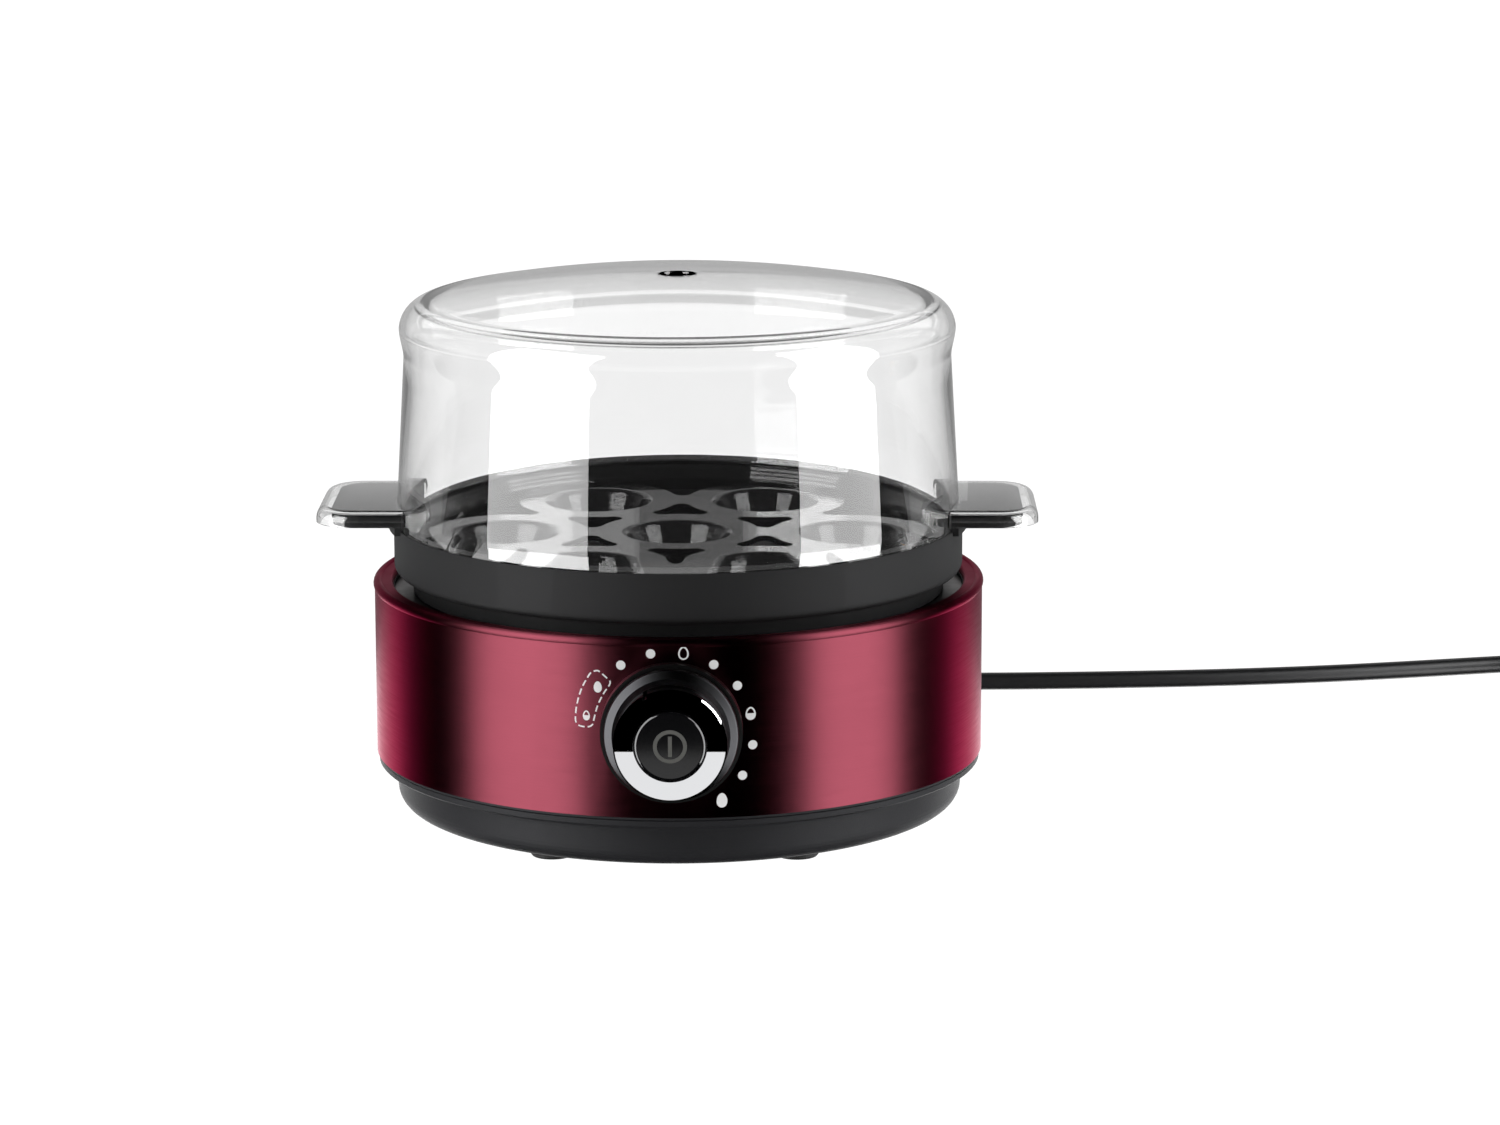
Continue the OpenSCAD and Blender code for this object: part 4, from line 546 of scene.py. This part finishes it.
outline += arc(CROWN_AT, CROWN_R - LID_T, 62, 0, 10)
outline += [(eased(k, 12, 0, CROWN_AT[0] + CROWN_R - LID_T, STEP_R - LID_T),
             STEP_LOW + (STEP_HIGH - STEP_LOW) * k / 12) for k in range(11, -1, -1)]
outline += [(RIM_R - LID_T, RIM_Z + 0.0006)]
wall = bmesh.new()
ring = [wall.verts.new((x, 0, z)) for x, z in outline]
edges = [wall.edges.new(pair) for pair in zip(ring, ring[1:] + ring[:1])]
bmesh.ops.spin(wall, geom=ring + edges, cent=(0, 0, 0), axis=(0, 0, 1), angle=2 * math.pi, steps=160,
               use_merge=True)
bmesh.ops.remove_doubles(wall, verts=wall.verts, dist=1e-6)
bmesh.ops.recalc_face_normals(wall, faces=wall.faces)

handles = bmesh.new()
for side in (1, -1):
    handle = bmesh.new()
    bmesh.ops.create_grid(handle, x_segments=1, y_segments=1, size=0.5)
    bmesh.ops.scale(handle, verts=handle.verts, vec=(HANDLE_REACH - HANDLE_ROOT, 2 * HANDLE_HALF_W, 1))
    bmesh.ops.translate(handle, verts=handle.verts, vec=(0.5 * (HANDLE_REACH + HANDLE_ROOT), 0, HANDLE_LOW))
    raised = bmesh.ops.extrude_face_region(handle, geom=handle.faces[:])
    bmesh.ops.translate(handle, verts=[v for v in raised["geom"] if isinstance(v, bmesh.types.BMVert)],
                        vec=(0, 0, HANDLE_HIGH - HANDLE_LOW))
    bmesh.ops.recalc_face_normals(handle, faces=handle.faces)
    corners = [e for e in handle.edges if min(v.co.x for v in e.verts) > HANDLE_REACH - 1e-5
               and abs(e.verts[0].co.z - e.verts[1].co.z) > 1e-4]
    bmesh.ops.bevel(handle, geom=corners, offset=HANDLE_CORNER_R, segments=10, profile=0.5, affect="EDGES",
                    material=-1)
    top_rim = [e for e in handle.edges if min(v.co.z for v in e.verts) > HANDLE_HIGH - 1e-5
               and max(v.co.x for v in e.verts) > HANDLE_ROOT + 1e-4]
    bmesh.ops.bevel(handle, geom=top_rim, offset=HANDLE_EDGE_R, segments=6, profile=0.5, affect="EDGES",
                    material=-1)
    # Cuts across the handle near the wall keep its faces small where the two are joined.
    for k in range(CUTS):
        bmesh.ops.bisect_plane(handle, geom=handle.verts[:] + handle.edges[:] + handle.faces[:], dist=1e-7,
                               plane_co=(CUT_FROM - CUT_STEP * k, 0, 0), plane_no=(1, 0, 0))
    open_faces = [f for f in handle.faces if f.calc_center_median().z < HANDLE_LOW + 1e-6
                  or f.calc_center_median().x < HANDLE_ROOT + 1e-4]
    bmesh.ops.delete(handle, geom=open_faces, context="FACES")
    bmesh.ops.recalc_face_normals(handle, faces=handle.faces)
    bmesh.ops.solidify(handle, geom=handle.faces[:], thickness=HANDLE_T)
    if side < 0:
        bmesh.ops.rotate(handle, verts=handle.verts, cent=(0, 0, 0), matrix=Matrix.Rotation(math.pi, 3, "Z"))
    carried = bpy.data.meshes.new("handle")
    handle.to_mesh(carried)
    handle.free()
    handles.from_mesh(carried)
    bpy.data.meshes.remove(carried)
core = bmesh.new()
bmesh.ops.create_cone(core, cap_ends=True, segments=160, radius1=CORE_R, radius2=CORE_R, depth=0.05,
                      matrix=Matrix.Translation((0, 0, 0.1)))


def combined(form, other, how):
    """The union or difference of two closed forms."""
    shapes = []
    for name, source in (("first", form), ("second", other)):
        mesh = bpy.data.meshes.new(name)
        source.to_mesh(mesh)
        source.free()
        shapes.append(bpy.data.objects.new(name, mesh))
        bpy.context.scene.collection.objects.link(shapes[-1])
    cut = shapes[0].modifiers.new("cut", "BOOLEAN")
    cut.operation = how
    cut.solver = "EXACT"
    cut.object = shapes[1]
    done = bmesh.new()
    done.from_object(shapes[0], bpy.context.evaluated_depsgraph_get())
    for shape in shapes:
        mesh = shape.data
        bpy.data.objects.remove(shape)
        bpy.data.meshes.remove(mesh)
    return done


handles = combined(handles, core, "DIFFERENCE")
lid_form = combined(wall, handles, "UNION")
bmesh.ops.remove_doubles(lid_form, verts=lid_form.verts, dist=1e-6)
lid = add_piece("clear_lid", lid_form, clear_plastic(), "lid", crease=28)
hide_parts("lid")

# ---- Studio ----
# The cooker stands on a white sweep, under a pale sky and between two tall soft boxes. Only rays that
# a gloss has thrown back see the cards: before the knob, behind the tray for its webs, on the sweep
# and low behind it, in bands at the back, and one on each soft box.
WEB_CARD_X, WEB_CARD_Y, WEB_CARD_Z = 0.062, 0.2, 0.12
BACK_Y, BACK_W = 1.6, 3.0
SOFT_BOX_AWAY, SOFT_BOX_TALL, SOFT_BOX_Z = 1.2, 2.4, 0.25
FLOOR_W, FLOOR_GLOW = 40, 1.06


def thrown_back(nodes, links):
    """A light path node, and a node that gives 1 for rays that a gloss has thrown back, else 0."""
    ray = nodes.new("ShaderNodeLightPath")
    back = nodes.new("ShaderNodeMath")
    back.operation = "MINIMUM"
    back.inputs[1].default_value = 1
    links.new(ray.outputs["Glossy Depth"], back.inputs[0])
    return ray, back


def dimmed(nodes, links, full, less):
    """A strength: full, or less for rays that leave the lid after a gloss has thrown them back."""
    ray, back = thrown_back(nodes, links)
    let_out = nodes.new("ShaderNodeMath")
    let_out.operation = "MULTIPLY"
    links.new(back.outputs["Value"], let_out.inputs[0])
    links.new(ray.outputs["Is Transmission Ray"], let_out.inputs[1])
    strength = nodes.new("ShaderNodeMapRange")
    strength.inputs["To Min"].default_value = full
    strength.inputs["To Max"].default_value = less
    links.new(let_out.outputs["Value"], strength.inputs["Value"])
    return strength.outputs["Result"]


def glow(name, grey, strength):
    """A matt surface that gives white light of its own."""
    made = bpy.data.materials.new(name)
    made.use_nodes = True
    shader = made.node_tree.nodes["Principled BSDF"]
    shader.inputs["Base Color"].default_value = (grey, grey, grey, 1)
    shader.inputs["Roughness"].default_value = 0.9
    shader.inputs["Emission Color"].default_value = (1, 1, 1, 1)
    shader.inputs["Emission Strength"].default_value = strength
    shader.inputs["Specular IOR Level"].default_value = 0
    return made


def lying(x, y, z, wide, deep):
    """The place of a sheet that lies flat, by its middle and its size."""
    return Matrix.Translation((x, y, z)) @ Matrix.Diagonal((wide, deep, 1, 1))


def upright(x, y, z, wide, tall):
    """The place of a sheet that stands up, by its middle and its size."""
    turned = Matrix.Translation((x, y, z)) @ Matrix.Rotation(math.pi / 2, 4, "X")
    return turned @ Matrix.Diagonal((wide, tall, 1, 1))


def sheet_on_stage(name, place, material):
    """A flat square that belongs to the studio, placed by a matrix that scales it too."""
    form = bmesh.new()
    bmesh.ops.create_grid(form, x_segments=1, y_segments=1, size=0.5, matrix=place)
    mesh = bpy.data.meshes.new(name)
    form.to_mesh(mesh)
    form.free()
    mesh.materials.append(material)
    made = bpy.data.objects.new(name, mesh)
    bpy.context.scene.collection.objects.link(made)
    return made


world = bpy.data.worlds.new("studio")
bpy.context.scene.world = world
world.use_nodes = True
world.cycles_visibility.glossy = False
sky, sky_links = world.node_tree.nodes, world.node_tree.links
direction = sky.new("ShaderNodeTexCoord")
height = sky.new("ShaderNodeSeparateXYZ")
fall = sky.new("ShaderNodeValToRGB")
fall.color_ramp.elements[0].position = 0.12
fall.color_ramp.elements[0].color = (1, 1, 1, 1)
fall.color_ramp.elements[1].position = 0.4
fall.color_ramp.elements[1].color = (0.22, 0.22, 0.22, 1)
sky_links.new(direction.outputs["Generated"], height.inputs["Vector"])
sky_links.new(height.outputs["Z"], fall.inputs["Fac"])
sky_links.new(fall.outputs["Color"], sky["Background"].inputs["Color"])
sky_links.new(dimmed(sky, sky_links, 1.12, 0.9), sky["Background"].inputs["Strength"])

floor_white = glow("floor_white", 0.05, FLOOR_GLOW)
floor_nodes, floor_links = floor_white.node_tree.nodes, floor_white.node_tree.links
floor_links.new(dimmed(floor_nodes, floor_links, FLOOR_GLOW, 0.1),
                floor_nodes["Principled BSDF"].inputs["Emission Strength"])
floor = sheet_on_stage("floor", Matrix.Scale(FLOOR_W, 4), floor_white)
floor.visible_glossy = False

cards = [("front_card", 0.95, lying(-0.005, -0.269, 0.0006, 0.09, 0.069)),
         ("low_back_card", 0.5, lying(0, 0.9, 0.001, 3.0, 1.4)),
         ("web_shade", 0.25, upright(0, WEB_CARD_Y, WEB_CARD_Z, 0.04, 0.07)),
         ("web_card_1", 0.65, upright(-WEB_CARD_X, WEB_CARD_Y, WEB_CARD_Z, 0.08, 0.07)),
         ("web_card_3", 0.65, upright(WEB_CARD_X, WEB_CARD_Y, WEB_CARD_Z, 0.08, 0.07)),
         ("edge_card", 3.6, upright(0, 0.6, -0.35, 1.8, 0.7))]
for low, high, strength in ((0.0, 0.66, 0.5), (0.66, 0.71, 0.9), (0.71, 0.82, 0.3), (0.82, 2.1, 0.95)):
    place = upright(0, BACK_Y, (low + high) / 2, BACK_W, high - low)
    cards.append((f"back_card_{len(cards)}", strength, place))
for side, turn, width in ((-1, 56.5, 1.0), (1, 69, 0.84)):
    aside = Matrix.Rotation(side * math.radians(turn), 4, "Z")
    facing = aside @ Matrix.Translation((0, -SOFT_BOX_AWAY, SOFT_BOX_Z))
    facing = facing @ Matrix.Rotation(math.pi / 2, 4, "X")
    box = bpy.data.lights.new(f"soft_box_{side + 2}", "AREA")
    box.shape = "RECTANGLE"
    box.size = width
    box.size_y = SOFT_BOX_TALL
    box.energy = 10
    lamp = bpy.data.objects.new(box.name, box)
    lamp.matrix_world = facing
    lamp.visible_camera = lamp.visible_glossy = False
    bpy.context.scene.collection.objects.link(lamp)
    cards.append((f"soft_front_{side + 2}", 7.4, facing @ Matrix.Diagonal((width, SOFT_BOX_TALL, 1, 1))))
for name, strength, place in cards:
    paper = glow(name + "_white", 0, strength)
    nodes, links = paper.node_tree.nodes, paper.node_tree.links
    either = nodes.new("ShaderNodeMixShader")
    links.new(thrown_back(nodes, links)[1].outputs["Value"], either.inputs["Fac"])
    links.new(nodes.new("ShaderNodeBsdfTransparent").outputs["BSDF"], either.inputs[1])
    links.new(nodes["Principled BSDF"].outputs["BSDF"], either.inputs[2])
    links.new(either.outputs["Shader"], nodes["Material Output"].inputs["Surface"])
    card = sheet_on_stage(name, place, paper)
    card.visible_camera = card.visible_diffuse = card.visible_shadow = False
bpy.context.scene.view_settings.view_transform = "Standard"
